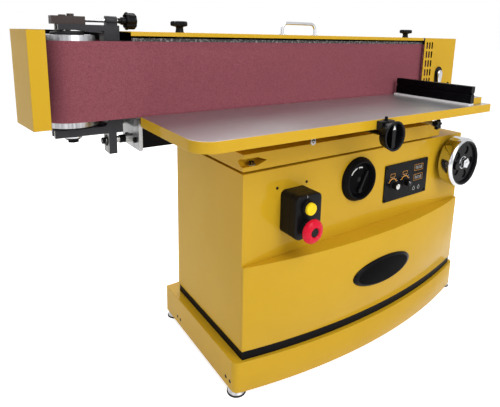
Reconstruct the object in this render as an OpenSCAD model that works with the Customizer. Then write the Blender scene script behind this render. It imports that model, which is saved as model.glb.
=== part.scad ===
// Edge sander: a wide vertical belt on two drums over a lifting cast table and a steel cabinet.
// Frame: X along the belt, Y towards the back, Z up, origin on the floor under the middle of the box.

/* [Table] */
// Height of the table top above the floor, table fully down
table_h = 914; // [880:1:950]
// Length of the table along the belt
table_l = 1327; // [1280:1:1360]
// Depth of the table from its front edge to its belt edge
table_d = 385; // [370:1:400]
// Depth of the table's rim
table_rim_h = 32; // [26:1:36]
// Thickness of the table's top plate
table_plate_t = 12; // [8:1:16]
// Radius of the table's front left corner
table_corner_r = 62; // [30:1:80]
// Gap between the table's back edge and the belt
table_gap = 3; // [2:0.5:6]
// Travel of the table upwards
table_lift = 90; // [60:1:95]

/* [Belt and drums] */
// Width of the sanding belt
belt_w = 229; // [200:1:240]
// Thickness of the sanding belt
belt_t = 1.6; // [1.2:0.1:2]
// How far the belt's lower edge lies under the table top
belt_below = 2; // [0:0.5:6]
// Diameter of both drums
drum_d = 150; // [130:1:152]
// How far a drum stands out past each edge of the belt
drum_over = 16; // [10:1:18]
// Distance between the two drum axes
drum_pitch = 1667; // [1640:1:1670]
// Diameter of the idler shaft
idler_shaft_d = 20; // [16:1:24]
// Diameter of the drive shaft
drive_shaft_d = 28; // [24:1:34]
// Wall of the hollow drums
drum_wall = 12; // [8:1:16]

/* [Idler yoke and tracking] */
// Thickness of the yoke's upper arm
yoke_upper_t = 16; // [12:1:20]
// Thickness of the yoke's lower arm
yoke_lower_t = 22; // [16:1:26]
// Width of the yoke across the belt
yoke_w = 56; // [38:1:60]
// Width of the yoke's upright leg
yoke_leg_w = 44; // [32:1:48]
// Travel of the yoke when the belt is slackened
slack_travel = 10; // [6:1:12]
// Diameter of the tracking knob
track_knob_d = 54; // [46:1:58]
// Diameter of the tracking screw
track_screw_d = 10; // [8:1:12]

/* [Covers] */
// Height of the yellow covers' top above the table top
cover_rise = 255.6; // [250:0.5:270]
// Sheet thickness of the covers
sheet_t = 2.5; // [2:0.5:3]
// Height of the top cover's front lip
cover_lip_h = 12.5; // [10:0.5:16]
// Length of the end guard's front lip
guard_lip = 45; // [36:1:56]
// Width of the drive end cover along the belt
end_cover_w = 254; // [240:1:262]
// Diameter of the two cover knobs
cover_knob_d = 60; // [50:1:66]
// Span of the pull handle between its legs
pull_span = 160; // [120:1:190]
// Clear height of the pull handle
pull_h = 49; // [40:1:60]
// Diameter of the pull handle's rod
pull_d = 12; // [8:1:14]

/* [Fence] */
// Length of the fence across the table
fence_l = 356; // [280:1:360]
// Height of the fence
fence_h = 76; // [60:1:90]
// Thickness of the fence extrusion
fence_t = 24; // [20:1:30]

/* [Cabinet] */
// Width of the cabinet
cab_w = 1166; // [1140:1:1180]
// Depth of the cabinet
cab_d = 470; // [450:1:490]
// Drop from the table top to the cabinet's deck
cab_drop = 157; // [149:1:169]
// Drop from the cabinet's deck to the ledge where the bowed panel starts
ledge_drop = 301; // [277:1:337]
// Underside of the cabinet above the floor
cab_bottom = 160; // [140:1:170]
// Sheet thickness of the cabinet
cab_t = 3; // [2.5:0.5:4]
// How far the bowed panel stands out at its ends
bow_end = 10; // [6:1:14]
// How far the bow stands out at its middle, past its ends
bow_rise = 68; // [40:1:80]

/* [Plinth] */
// Width of the plinth past the cabinet on each side
plinth_margin = 28; // [20:1:36]
// Depth of the plinth behind the cabinet
plinth_back = 60; // [30:1:70]
// Top of the plinth above the floor
plinth_top = 127; // [115:1:130]
// Underside of the plinth above the floor
plinth_bottom = 16; // [12:1:24]
// Radius of the plinth's corners
plinth_corner_r = 26; // [16:1:32]
// Diameter of the levelling feet
foot_d = 66; // [44:1:70]

/* [Controls] */
// Width of the switch box
switch_w = 105; // [90:1:115]
// Height of the switch box
switch_h = 146; // [120:1:160]
// Depth of the switch box
switch_d = 82; // [70:1:92]
// Diameter of the start button
start_d = 40; // [32:1:44]
// Diameter of the stop button's mushroom
stop_d = 80; // [60:1:84]
// Travel of the start button
start_travel = 4; // [2:0.5:5]
// Travel of the stop button
stop_travel = 6; // [4:0.5:7]
// Width of the control panel
panel_w = 271; // [240:1:280]
// Height of the control panel
panel_h = 150; // [130:1:160]
// Diameter of the two control knobs
knob_d = 36; // [28:1:40]
// Outer diameter of the round dial's bezel
dial_d = 168; // [140:1:176]

/* [Handwheel and lift] */
// Outer diameter of the handwheel
wheel_d = 210; // [180:1:220]
// Depth of the handwheel's rim
wheel_rim_w = 62; // [20:1:66]
// Diameter of the lift cross shaft
cross_d = 20; // [16:1:22]
// Diameter of the lift screws
screw_d = 28; // [24:1:32]
// Diameter of the table's guide posts
post_d = 40; // [34:1:46]
// Diameter of the cup shaped lock knob under the table's edge
lock_d = 98; // [80:1:102]

/* [Motor and dust port] */
// Diameter of the motor body
motor_d = 170; // [150:1:176]
// Length of the motor body
motor_l = 270; // [220:1:290]
// Outer diameter of the dust port
port_d = 100; // [90:1:110]

/* [Hidden] */
$fn = 64;
// Overrun of every cut past the face it goes through
cut = 1;
// Clearances: running fit on the radius, moving parts, drum to belt
run_fit = 0.05;
move_gap = 0.6;
belt_gap = 0.4;

// Placing of the belt, the table and the cabinet in the frame
belt_y = 71.5;
mid_x = -4.125;
table_off = 8.5;
cab_off = 152;
cab_front = 240;

// Idler yoke and tracking
yoke_drum_gap = 13;
leg_gap = 22;
arm_reach = 28;
lower_reach = 54;
yoke_fillet_r = 18;
lug_w = 24;
lug_h = 66;
rod_d = 20;
rod_drop_share = 0.42;
rod_top_drop = 70;
rod_end = 14;
rod_top_end = 4;
spacer_l = 22;
spacer_share = 1.4;
nut_h = 16;
washer_t = 4;
nut_share = 1.5;
block_w = 90;
block_h = 23;
block_d = 40;
block_left_share = 0.48;
block_axis_share = 0.62;
block_cap_d = 20;
block_cap_h = 7;
cap_gap_share = 0.55;
cap_low_share = 0.5;
shaft_bite_share = 0.5;
track_bite = 12;
track_nut_w = 34;
track_nut_d = 27;
nut_foot_share = 0.4;
knob_gap = 6;
knob_neck_d = 22;
knob_neck_l = 22;
neck_share = 0.7;
knob_disc_t = 30;
knob_lobes = 8;
track_lobe_share = 0.1;

// Head frame, platen and motor
belt_rear_gap = 12;
beam_h = 77;
beam_drop = 22;
beam_clear = 47;
beam_end = 113;
beam_inset = 25;
beam_wall = 10;
end_plate_t = 12;
end_plate_up = 18;
end_plate_in = 8;
end_plate_low = 3;
end_plate_hole_d = 14;
platen_clear = 12;
platen_t = 10;
platen_down = 4;
platen_up = 10;
rib_t = 12;
ribs = 5;
rib_back = 44;
web_t = 8;
post_foot = 40;
stud_boss_d = 24;
motor_plate_t = 10;
motor_plate_left = 200;
motor_plate_right = 98;
motor_plate_in = 4;
pedestal_w = 150;
pedestal_shares = [0.24, 0.76];
pedestal_neck_share = 0.7;
pedestal_foot_t = 14;
motor_fin_d = 6;
motor_fins = 20;
fin_t = 4;
motor_flange_t = 14;
motor_flange_d = 172;
fan_cover_l = 60;
fan_slots = 10;
fan_slot_d = 14;
fan_slot_share = 0.3;
term_w = 90;
term_h = 110;
term_d = 50;
shaft_depth = 60;
shaft_end_gap = 2;
drum_recess = 30;
drum_hub_d = 70;

// Covers, hinges and knobs
cover_over = 12;
cover_clear = 4;
cover_stand = 20;
end_lap = 114;
end_low = 8;
rear_lap = 20;
guard_low = 10;
guard_lap = 4.5;
guard_tilt = 20;
guard_side_d = 135;
guard_rear_gap = 3;
guard_chamfer = 36;
guard_hinge_in = 30;
hinge_r = 7;
hinge_pin_r = 3;
hinge_stand = 1;
leaf_w = 12;
leaf_lap = 14;
knuckle_share = 0.2;
knuckle_low_share = 0.12;
vent_w = 11;
vent_h = 33;
vent_pitch_x = 20;
vent_pitch_z = 42.5;
vent_inset = 20;
vent_top = 18;
vent_cols = 3;
vent_rows = 5;
round_end_share = 0.49;
latch_w = 54;
latch_h = 86;
latch_t = 3;
latch_in = 128;
latch_up = 82;
latch_spindle_d = 10;
lever_w = 24;
lever_l = 58;
lever_t = 7;
lever_tip_share = 0.7;
lever_hub_share = 0.8;
plug_d = 12;
plug_inset = 34;
plug_up = 44;
cover_knob_h = 36;
cover_knob_stud_d = 10;
cover_knob_stud_l = 20;
knob_foot_share = 0.5;
cover_lobes = 5;
cover_lobe_share = 0.16;
left_knob_off = 504;
right_knob_off = 646;
cover_knob_in = 40;
pull_off = 20;
pull_in = 20;
pull_bend_r = 22;
port_l = 48;
port_wall = 3;
port_flange = 14;
port_off = 60;

// Table, carriage and lift
rim_t = 14;
table_ribs = 6;
carriage_gap = 8;
carriage_l = 995;
carriage_rear = 20;
carriage_wall = 14;
carriage_set = 60;
step_w = 60;
step_h = 20;
pocket_w = 92;
pocket_h = 26;
pocket_d = 34;
bolt_d = 17;
bolt_h = 10;
bolt_sides = 6;
bolt_share = 0.45;
first_lift = 320;
second_lift = 700;
first_post = 120;
second_post = 900;
lift_in = 110;
lift_bite = 104;
bush_clear = 14;
bush_wall = 10;
jack_w = 90;
jack_d = 110;
jack_h = 150;
jack_front = 14;
worm_off = 34;
wheel_in = 1078;
wheel_down = 107;
wheel_out = 52;
gearbox_w = 80;
gearbox_h = 80;
gearbox_d = 110;
gearbox_bore = 46;
cross_bore = 40;
wheel_shaft_d = 20;
wheel_hole_gap = 6;
wheel_rim_t = 18;
wheel_rim_r = 8;
hub_d = 54;
hub_l = 40;
web_disc_t = 10;
web_set = 11;
web_pockets = 5;
web_pocket_d = 36;
web_pocket_share = 0.64;
grip_d = 34;
grip_l = 20;
grip_turn = 188;
grip_share = 0.6;
centre_knob_d = 44;
centre_knob_h = 18;

// Lock and clamp knobs on the table
lock_off = 8;
lock_down = 16;
lock_out = 22;
lock_l = 30;
lock_wall = 6;
lock_bar_w = 16;
lock_shaft_d = 18;
lock_end = 10;
lock_bracket_w = 64;
lock_bracket_t = 20;
bracket_down = 4;
cup_foot_share = 0.86;
clamp_end = 169;
clamp_in = 62;
clamp_down = 36;
clamp_d = 46;
clamp_t = 16;
clamp_rod_d = 12;
clamp_lobes = 3;

// Fence
fence_in = 140;
fence_rear = 20;
fence_float = 0.3;
fence_slot = 9;
strip_h = 8;
strip_out = 12;
bracket_l = 90;
bracket_h = 26;
bracket_d = 76;
bracket_in = 18;
bracket_foot = 14;
bracket_rise_share = 0.7;
fence_knob_d = 30;
fence_knob_h = 22;
knob_stud_l = 16;

// Cabinet, plinth and controls
plinth_out = 12;
band_inset = 3;
foot_h = 14;
foot_stud_d = 12;
foot_inset = 26;
foot_top_share = 0.7;
foot_nut_h = 2;
cab_frame = 40;
rear_x = 152;
rear_w = 700;
rear_top_gap = 77;
rear_low_gap = 112;
rear_louvres = 8;
louvre_w = 160;
louvre_h = 8;
louvre_pitch = 24;
badge_w = 320;
badge_h = 140;
badge_t = 6;
badge_off = 162;
badge_low = 2;
switch_in = 198;
switch_down = 148;
switch_r = 14;
button_in = 10;
button_off = 6;
start_up = 34;
start_out = 24;
start_well = 30;
start_collar_d = 50;
start_collar_t = 8;
stop_down = 36;
stop_out = 46;
stop_well = 30;
stop_stem_d = 34;
stop_cap_t = 22;
stop_face_share = 0.8;
panel_in = 790;
panel_down = 152;
panel_t = 5;
panel_r = 5;
knob_h = 26;
knob_skirt_t = 4;
knob_grip_share = 0.72;
knob_spindle_d = 8;
knob_down = 8;
speed_off = 87;
mode_off = 11;
dial_in = 504;
dial_down = 101;
dial_flange = 24;
dial_ring = 17;
dial_bevel = 6;
dial_depth = 14;
dial_lip = 4;
dial_wall = 4;
dial_bar_w = 14;
dial_bar_turn = 28;
screw_head_d = 9;
screw_head_t = 3;

// Worked out planes of the belt and drums
idler_x = mid_x - drum_pitch / 2;
drive_x = mid_x + drum_pitch / 2;
belt_ri = drum_d / 2 + belt_gap;
belt_ro = belt_ri + belt_t;
axis_y = belt_y + belt_ro;
back_y = axis_y + belt_ro + belt_rear_gap;
belt_z0 = table_h - belt_below;
belt_z1 = belt_z0 + belt_w;
drum_z0 = belt_z0 - drum_over;
drum_z1 = belt_z1 + drum_over;
cover_z = table_h + cover_rise;

// Worked out places of the yoke
yoke_top = drum_z1 + yoke_drum_gap + yoke_upper_t;
yoke_low = drum_z0 - yoke_drum_gap - yoke_lower_t;
leg_x0 = idler_x + drum_d / 2 + leg_gap;
leg_x1 = leg_x0 + yoke_leg_w;
slot_w = idler_shaft_d + 2 * move_gap;
rod_z = yoke_low - lug_h * rod_drop_share;
rod_top_z = belt_z1 - rod_top_drop;
screw_z = yoke_top + block_h * block_axis_share;
shaft_top = yoke_top + block_h * shaft_bite_share;

// Worked out places of the head
beam_top = yoke_low + beam_drop;
beam_z0 = beam_top - beam_h;
beam_x0 = leg_x1 + beam_clear;
beam_x1 = drive_x - beam_end;
beam_y0 = belt_y + beam_inset;
motor_top = beam_top;
plate_x0 = leg_x1 + slack_travel + platen_clear;
plate_x1 = drive_x - drum_d / 2 - 2 * platen_clear;
platen_z0 = belt_z0 - platen_down;
platen_y = belt_y + belt_t + belt_gap;
motor_plate_x0 = drive_x - motor_plate_left;
motor_plate_x1 = drive_x + motor_plate_right;

// Worked out places of the covers
cover_front_y = belt_y - cover_over;
cover_x0 = leg_x1 + slack_travel + cover_clear;
end_x0 = drive_x - end_lap;
end_x1 = end_x0 + end_cover_w;
end_front_y = belt_y - cover_stand;
end_bottom = belt_z0 - end_low;
end_hinge_x = end_x1 - sheet_t / 2;
end_hinge_y = back_y + sheet_t + hinge_r + hinge_stand;
guard_z0 = belt_z0 - guard_low;
guard_x1 = idler_x - belt_ro + guard_lap;
guard_x0 = guard_x1 - guard_lip;
guard_front_y = belt_y - cover_stand;
guard_mid_y = belt_y + guard_side_d;
guard_back_y = back_y + sheet_t + guard_rear_gap;
guard_hinge_x = idler_x + guard_hinge_in;
guard_hinge_y = guard_back_y;
latch_x = end_x0 + latch_in;
latch_z = end_bottom + latch_up;
knob_x = [mid_x - left_knob_off, mid_x + right_knob_off];
knob_y = belt_y + cover_knob_in;
pull_x = mid_x - pull_off;
pull_y = belt_y + pull_in;
port_x = drive_x - port_off;
port_z = belt_z0 + belt_w / 2;

// Worked out places of the cabinet and the table
cab_top = table_h - cab_drop;
ledge_h = cab_top - ledge_drop;
rear_h = cab_top - rear_top_gap - cab_bottom - rear_low_gap;
rear_z = cab_bottom + rear_low_gap + rear_h / 2;
cab_x0 = mid_x + cab_off - cab_w / 2;
cab_x1 = cab_x0 + cab_w;
cab_y0 = belt_y - cab_front;
cab_y1 = cab_y0 + cab_d;
bow_arc_r = (pow(cab_w / 2, 2) + pow(bow_rise, 2)) / (2 * bow_rise);
table_x0 = mid_x + table_off - table_l / 2;
table_x1 = table_x0 + table_l;
table_y1 = belt_y - table_gap;
table_y0 = table_y1 - table_d;
table_z0 = table_h - table_rim_h;
carriage_z0 = cab_top + carriage_gap;
carriage_x1 = cab_x0 + carriage_l;
carriage_y0 = cab_y0 + carriage_set;
flange_z = carriage_z0 + 2 * carriage_wall + pocket_h;
carriage_y1 = table_y1 - carriage_rear;
lift_x = [cab_x0 + first_lift, cab_x0 + second_lift];
post_x = [cab_x0 + first_post, cab_x0 + second_post];
lift_y = cab_y0 + lift_in;
lift_bottom = cab_top - cab_t - table_lift - lift_bite;
bush_l = wheel_down - cab_t - cross_d / 2 - bush_clear;
cross_y = lift_y - worm_off;
wheel_x = cab_x0 + wheel_in;
wheel_y = cab_y0 - wheel_out;
web_out = wheel_rim_w / 2 - web_set - web_disc_t;
wheel_z = cab_top - wheel_down;
gearbox_front = cab_y0 + cab_t;
lock_x = mid_x + lock_off;
lock_y = table_y0 - lock_out;
lock_z = table_z0 - lock_down;
clamp_x = carriage_x1 - clamp_end;
clamp_y = table_y0 + clamp_in;
clamp_z = table_z0 - clamp_down;
fence_x = table_x1 - fence_in;
fence_y1 = table_y1 - fence_rear;
bracket_y = fence_y1 - fence_l + bracket_in;

// Worked out places of the controls
badge_x = mid_x + badge_off;
badge_z = (cab_bottom + ledge_h) / 2 - badge_low;
switch_x = cab_x0 + switch_in;
switch_z = cab_top - switch_down;
start_z = switch_z + start_up;
stop_z = switch_z - stop_down;
button_x = switch_x - button_in;
panel_x = cab_x0 + panel_in;
panel_z = cab_top - panel_down;
knob_xs = [panel_x - speed_off, panel_x - mode_off];
knob_z = panel_z - knob_down;
dial_x = cab_x0 + dial_in;
dial_z = cab_top - dial_down;
dial_cup_d = dial_d - 2 * dial_ring - 2 * move_gap;
dial_cup_l = dial_depth + dial_flange - dial_lip;

// A flat rectangle with round corners, centred
module round_rect(w, d, r) {
  square([w - 2 * r, d], center = true);
  square([w, d - 2 * r], center = true);
  for (sx = [-1, 1], sy = [-1, 1]) translate([sx * (w / 2 - r), sy * (d / 2 - r)]) circle(r);
}

// A box given by two opposite corners
module block(a, b) {
  translate(a) cube(b - a);
}

// A cylinder along Y that starts at its front point and runs back
module along_y(p, d, l) {
  translate(p) rotate([-90, 0, 0]) cylinder(d = d, h = l);
}

// A cylinder along X that starts at its left point
module along_x(p, d, l) {
  translate(p) rotate([0, 90, 0]) cylinder(d = d, h = l);
}

// A knob's plan: a disc with round lobes on its rim
module lobed(d, lobes, lobe_share) {
  lobe_r = d * lobe_share;
  circle(d = d - lobe_r);
  for (i = [0:lobes - 1]) rotate(i * 360 / lobes) translate([d / 2 - lobe_r, 0]) circle(lobe_r);
}

// Plan of the bowed front: everything behind an arc, with its two front corners rounded
module bow_plan(x0, x1, front, back, rise, r) {
  half = (x1 - x0) / 2;
  mid = (x0 + x1) / 2;
  arc_r = (half * half + rise * rise) / (2 * rise);
  arc_y = front - rise + arc_r;
  turn = asin((half - r) / (arc_r - r));
  corner_y = arc_y - (arc_r - r) * cos(turn);
  edge = half - r + r * sin(turn);
  difference() {
    intersection() {
      translate([x0, front - rise]) square([x1 - x0, back - front + rise]);
      translate([mid, arc_y]) circle(arc_r, $fn = 360);
    }
    for (s = [-1, 1]) translate([mid + s * (edge + half) / 2, (corner_y + front) / 2 - rise])
      square([half - edge, corner_y - front + 2 * rise], center = true);
  }
  for (s = [-1, 1]) translate([mid + s * (half - r), corner_y]) circle(r);
}

// Plinth: a bowed steel tray, open below
module plinth() {
  x0 = cab_x0 - plinth_margin;
  x1 = cab_x1 + plinth_margin;
  front = cab_y0 - bow_end;
  color("goldenrod") difference() {
    translate([0, 0, plinth_bottom]) linear_extrude(plinth_top - plinth_bottom)
      bow_plan(x0, x1, front, cab_y1 + plinth_back, bow_rise + plinth_out, plinth_corner_r);
    translate([0, 0, plinth_bottom - cut]) linear_extrude(plinth_top - plinth_bottom - cab_t + cut)
      bow_plan(x0 + cab_t, x1 - cab_t, front + cab_t, cab_y1 + plinth_back - cab_t,
        bow_rise + plinth_out, plinth_corner_r - cab_t);
  }
}

// A block whose front is one arc that stands out by its rise at the middle
module bowed(x0, x1, front, back, rise, z0, z1) {
  half = (x1 - x0) / 2;
  arc_r = (half * half + rise * rise) / (2 * rise);
  intersection() {
    translate([(x0 + x1) / 2, front - rise + arc_r, z0]) cylinder(r = arc_r, h = z1 - z0, $fn = 360);
    block([x0, front - rise - cut, z0 - cut], [x1, back, z1 + cut]);
  }
}

// Black band in the recess between the plinth and the cabinet
module toe_band() {
  x0 = cab_x0 + band_inset;
  x1 = cab_x1 - band_inset;
  front = cab_y0 - bow_end + band_inset;
  back = cab_y1 - band_inset;
  color("black") difference() {
    bowed(x0, x1, front, back, bow_rise, plinth_top, cab_bottom);
    bowed(x0 + cab_t, x1 - cab_t, front + cab_t, back - cab_t, bow_rise,
      plinth_top - cut, cab_bottom + cut);
  }
}

// Four levelling feet: pad, lock nut and stud up to the plinth's top sheet
module leveling_feet() {
  x0 = cab_x0 - plinth_margin + foot_inset;
  x1 = cab_x1 + plinth_margin - foot_inset;
  y0 = cab_y0 - bow_end + foot_inset;
  y1 = cab_y1 + plinth_back - foot_inset;
  color("dimgray") for (x = [x0, x1], y = [y0, y1]) translate([x, y, 0]) {
    cylinder(d1 = foot_d, d2 = foot_d * foot_top_share, h = foot_h);
    cylinder(d = foot_stud_d, h = plinth_top - cab_t);
    translate([0, 0, foot_h]) cylinder(d = foot_stud_d * 2, h = foot_nut_h, $fn = bolt_sides);
  }
}

// Cabinet: side walls, back frame, upper front and top deck in folded sheet
module cabinet_shell() {
  color("goldenrod") difference() {
    block([cab_x0, cab_y0, cab_bottom], [cab_x1, cab_y1, cab_top]);
    block([cab_x0 + cab_t, cab_y0 + cab_t, cab_bottom + cab_t], [cab_x1 - cab_t, cab_y1 - cab_t,
      cab_top - cab_t]);
    // Opening in the floor inside the bottom flange
    block([cab_x0 + cab_frame, cab_y0 + cab_frame, cab_bottom - cut],
      [cab_x1 - cab_frame, cab_y1 - cab_frame, cab_bottom + cab_t + cut]);
    // Opening behind the bowed panel
    block([cab_x0 + cab_frame, cab_y0 - cut, cab_bottom + cab_frame],
      [cab_x1 - cab_frame, cab_y0 + cab_t + cut, ledge_h - cab_frame]);
    // Opening behind the rear panel
    block([mid_x + rear_x - rear_w / 2 + cab_frame, cab_y1 - cab_t - cut,
      rear_z - rear_h / 2 + cab_frame],
      [mid_x + rear_x + rear_w / 2 - cab_frame, cab_y1 + cut, rear_z + rear_h / 2 - cab_frame]);
    along_y([dial_x, cab_y0 - cut, dial_z], dial_d - 2 * dial_ring + 2 * dial_wall + 2 * move_gap,
      cab_t + 2 * cut);
    along_y([wheel_x, cab_y0 - cut, wheel_z], wheel_shaft_d + wheel_hole_gap, cab_t + 2 * cut);
    for (x = lift_x) translate([x, lift_y, cab_top - cab_t - cut])
      cylinder(d = screw_d + wheel_hole_gap, h = cab_t + 2 * cut);
    for (x = post_x) translate([x, lift_y, cab_top - cab_t - cut])
      cylinder(d = post_d + wheel_hole_gap, h = cab_t + 2 * cut);
  }
}

// Bowed lower front panel with its ledge, a sheet open behind
module bow_panel() {
  front = cab_y0 - bow_end;
  color("gold") difference() {
    bowed(cab_x0, cab_x1, front, cab_y0, bow_rise, cab_bottom, ledge_h);
    bowed(cab_x0 + cab_t, cab_x1 - cab_t, front + cab_t, cab_y0 + cut, bow_rise,
      cab_bottom - cut, ledge_h - cab_t);
  }
}

// Rear access panel with louvre slots
module rear_panel() {
  x = mid_x + rear_x;
  color("goldenrod") difference() {
    block([x - rear_w / 2, cab_y1, rear_z - rear_h / 2], [x + rear_w / 2, cab_y1 + cab_t,
      rear_z + rear_h / 2]);
    for (s = [-1, 1], i = [0:rear_louvres - 1])
      translate([x + s * louvre_w, cab_y1 + cab_t + cut, rear_z + (i - (rear_louvres - 1) / 2)
        * louvre_pitch])
        rotate([90, 0, 0]) linear_extrude(cab_t + 2 * cut)
          round_rect(louvre_w, louvre_h, louvre_h * round_end_share);
  }
}

// Blank oval plate, curved to the bowed panel
module badge_plate() {
  color("black") intersection() {
    translate([badge_x, cab_y0, badge_z]) rotate([90, 0, 0])
      linear_extrude(bow_end + bow_rise + 2 * badge_t)
      scale([badge_w, badge_h]) circle(d = 1, $fn = 96);
    translate([(cab_x0 + cab_x1) / 2, cab_y0 - bow_end - bow_rise + bow_arc_r, badge_z - badge_h])
      difference() {
        cylinder(r = bow_arc_r + badge_t, h = 2 * badge_h, $fn = 360);
        translate([0, 0, -cut]) cylinder(r = bow_arc_r, h = 2 * badge_h + 2 * cut, $fn = 360);
      }
  }
}

// Starter box on the cabinet front, with the buttons' bores
module switch_box() {
  color("black") difference() {
    translate([switch_x, cab_y0, switch_z]) rotate([90, 0, 0]) linear_extrude(switch_d)
      round_rect(switch_w, switch_h, switch_r);
    along_y([button_x, cab_y0 - switch_d - cut, start_z], start_d + 2 * move_gap, start_well + cut);
    along_y([button_x, cab_y0 - switch_d - cut, stop_z], stop_stem_d + 2 * move_gap, stop_well + cut);
  }
  color("black") translate([button_x, cab_y0 - switch_d, start_z]) rotate([90, 0, 0]) difference() {
    cylinder(d = start_collar_d, h = start_collar_t);
    translate([0, 0, -cut]) cylinder(d = start_d + 2 * move_gap, h = start_collar_t + 2 * cut);
  }
}

// Control panel plate with the knobs' shaft bores
module control_panel() {
  color("black") difference() {
    translate([panel_x, cab_y0, panel_z]) rotate([90, 0, 0]) linear_extrude(panel_t)
      round_rect(panel_w, panel_h, panel_r);
    for (x = knob_xs) along_y([x, cab_y0 - panel_t - cut, knob_z], knob_spindle_d + 2 * run_fit,
      panel_t + 2 * cut);
  }
}

// Screw heads of the control panel, the rear panel and the cabinet front
module panel_screws() {
  inset = screw_head_d;
  color("silver") {
    for (sx = [-1, 1], sz = [-1, 1])
      along_y([panel_x + sx * (panel_w / 2 - inset), cab_y0 - panel_t - screw_head_t,
        panel_z + sz * (panel_h / 2 - inset)],
        screw_head_d, screw_head_t);
    for (sx = [-1, 1], sz = [-1, 1])
      along_y([mid_x + rear_x + sx * (rear_w / 2 - inset), cab_y1 + cab_t,
        rear_z + sz * (rear_h / 2 - inset)],
        screw_head_d, screw_head_t);
    for (s = [-1, 1])
      along_y([switch_x - button_off + s * (switch_w / 2 + inset), cab_y0 - screw_head_t,
        switch_z + switch_h / 2 + inset],
        screw_head_d, screw_head_t);
  }
}

// Bezel ring of the round dial, with its cup behind the panel
module dial_bezel() {
  bore = dial_d - 2 * dial_ring;
  color("black") translate([dial_x, cab_y0, dial_z]) rotate([90, 0, 0]) difference() {
    union() {
      cylinder(d1 = dial_d, d2 = dial_d - 2 * dial_bevel, h = dial_flange);
      translate([0, 0, -dial_depth - dial_wall]) cylinder(d = bore + 2 * dial_wall,
        h = dial_depth + dial_wall + cut);
    }
    translate([0, 0, -dial_depth]) cylinder(d = bore, h = dial_depth + dial_flange + cut);
    translate([0, 0, -dial_depth - dial_wall - cut]) cylinder(d = knob_spindle_d + 2 * run_fit,
      h = dial_wall + 2 * cut);
  }
}

// Cast pedestals that carry the head on the cabinet's deck
module head_pedestals() {
  color("goldenrod") for (k = pedestal_shares) translate([beam_x0 + (beam_x1 - beam_x0) * k, 0, 0]) {
    block([-pedestal_w / 2, beam_y0, cab_top], [pedestal_w / 2, back_y, cab_top + pedestal_foot_t]);
    block([-pedestal_w * pedestal_neck_share / 2, beam_y0 + beam_wall, cab_top],
      [pedestal_w * pedestal_neck_share / 2, back_y - beam_wall, beam_z0]);
  }
}

// Main beam of the head: a closed box section with end pockets
module head_beam() {
  color("black") difference() {
    block([beam_x0, beam_y0, beam_z0], [beam_x1, back_y, beam_top]);
    block([beam_x0 - cut, beam_y0 + beam_wall, beam_z0 + beam_wall],
      [beam_x1 + cut, back_y - beam_wall, beam_top - beam_wall]);
  }
}

// Steel plate on the idler end of the beam, drilled for the guide rod
module end_plate() {
  color("silver") difference() {
    block([beam_x0 - end_plate_t, belt_y + end_plate_in, beam_z0 - end_plate_low],
      [beam_x0, back_y, beam_top + end_plate_up]);
    along_x([beam_x0 - end_plate_t - cut, axis_y, rod_z], rod_d, end_plate_t + 2 * cut);
    for (s = [-1, 1]) along_x([beam_x0 - end_plate_t - cut, axis_y + s * rod_d * 2, rod_z],
      end_plate_hole_d,
      end_plate_t + 2 * cut);
  }
}

// Two guide rods the yoke slides on, with their spacers
module guide_rods() {
  color("silver") {
    along_x([leg_x0 - rod_end, axis_y, rod_z], rod_d, beam_x0 - leg_x0 + rod_end);
    along_x([beam_x0 - end_plate_t - spacer_l, axis_y, rod_z], rod_d * spacer_share, spacer_l);
    along_x([leg_x0 - rod_top_end, axis_y, rod_top_z], rod_d, plate_x0 - leg_x0 + rod_top_end);
  }
}

// Flat platen behind the belt
module platen() {
  color("dimgray") block([plate_x0, platen_y, platen_z0], [plate_x1, platen_y + platen_t,
    belt_z1 + platen_up]);
}

// Ribbed frame that carries the platen on the beam and takes the cover's studs
module platen_frame() {
  y0 = platen_y + platen_t;
  x1 = motor_plate_x0 - cut;
  color("dimgray") difference() {
    union() {
      block([plate_x0, y0, beam_top + end_plate_up], [x1, y0 + web_t, belt_z1]);
      block([beam_x0, y0, beam_top], [x1, y0 + web_t, belt_z1]);
      block([beam_x0, y0, beam_top], [x1, back_y - beam_wall, beam_top + web_t]);
      for (i = [0:ribs - 1]) translate([plate_x0 + (x1 - plate_x0 - rib_t) * i / (ribs - 1), 0, 0])
        block([0, y0, beam_top], [rib_t, back_y - rib_back, belt_z1]);
      translate([knob_x[0], knob_y, belt_z1 - post_foot]) cylinder(d = stud_boss_d,
        h = cover_z - sheet_t - belt_z1 + post_foot);
      block([knob_x[0] - stud_boss_d / 2, y0, belt_z1 - post_foot], [knob_x[0] + stud_boss_d / 2,
        knob_y, belt_z1]);
    }
    translate([knob_x[0], knob_y, cover_z - sheet_t - cover_knob_stud_l])
      cylinder(d = cover_knob_stud_d + 2 * run_fit, h = cover_knob_stud_l + cut);
  }
}

// The endless sanding belt round both drums
module sanding_belt() {
  color("brown") translate([0, 0, belt_z0]) linear_extrude(belt_w) difference() {
    belt_plan(belt_ro);
    belt_plan(belt_ri);
  }
}

// Plan of the belt's loop at a given radius round the drum axes
module belt_plan(r) {
  for (x = [idler_x, drive_x]) translate([x, axis_y]) circle(r, $fn = 128);
  translate([idler_x, axis_y - r]) square([drive_x - idler_x, 2 * r]);
}

// Sheet cover over the head with a front lip
module top_cover() {
  color("gold") difference() {
    union() {
      block([cover_x0, cover_front_y, cover_z - sheet_t], [end_x0, back_y + sheet_t, cover_z]);
      block([cover_x0, cover_front_y, cover_z - cover_lip_h], [end_x0, cover_front_y + sheet_t,
        cover_z]);
    }
    for (x = knob_x) translate([x, knob_y, cover_z - sheet_t - cut])
      cylinder(d = cover_knob_stud_d + 2 * run_fit, h = sheet_t + 2 * cut);
  }
}

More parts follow.
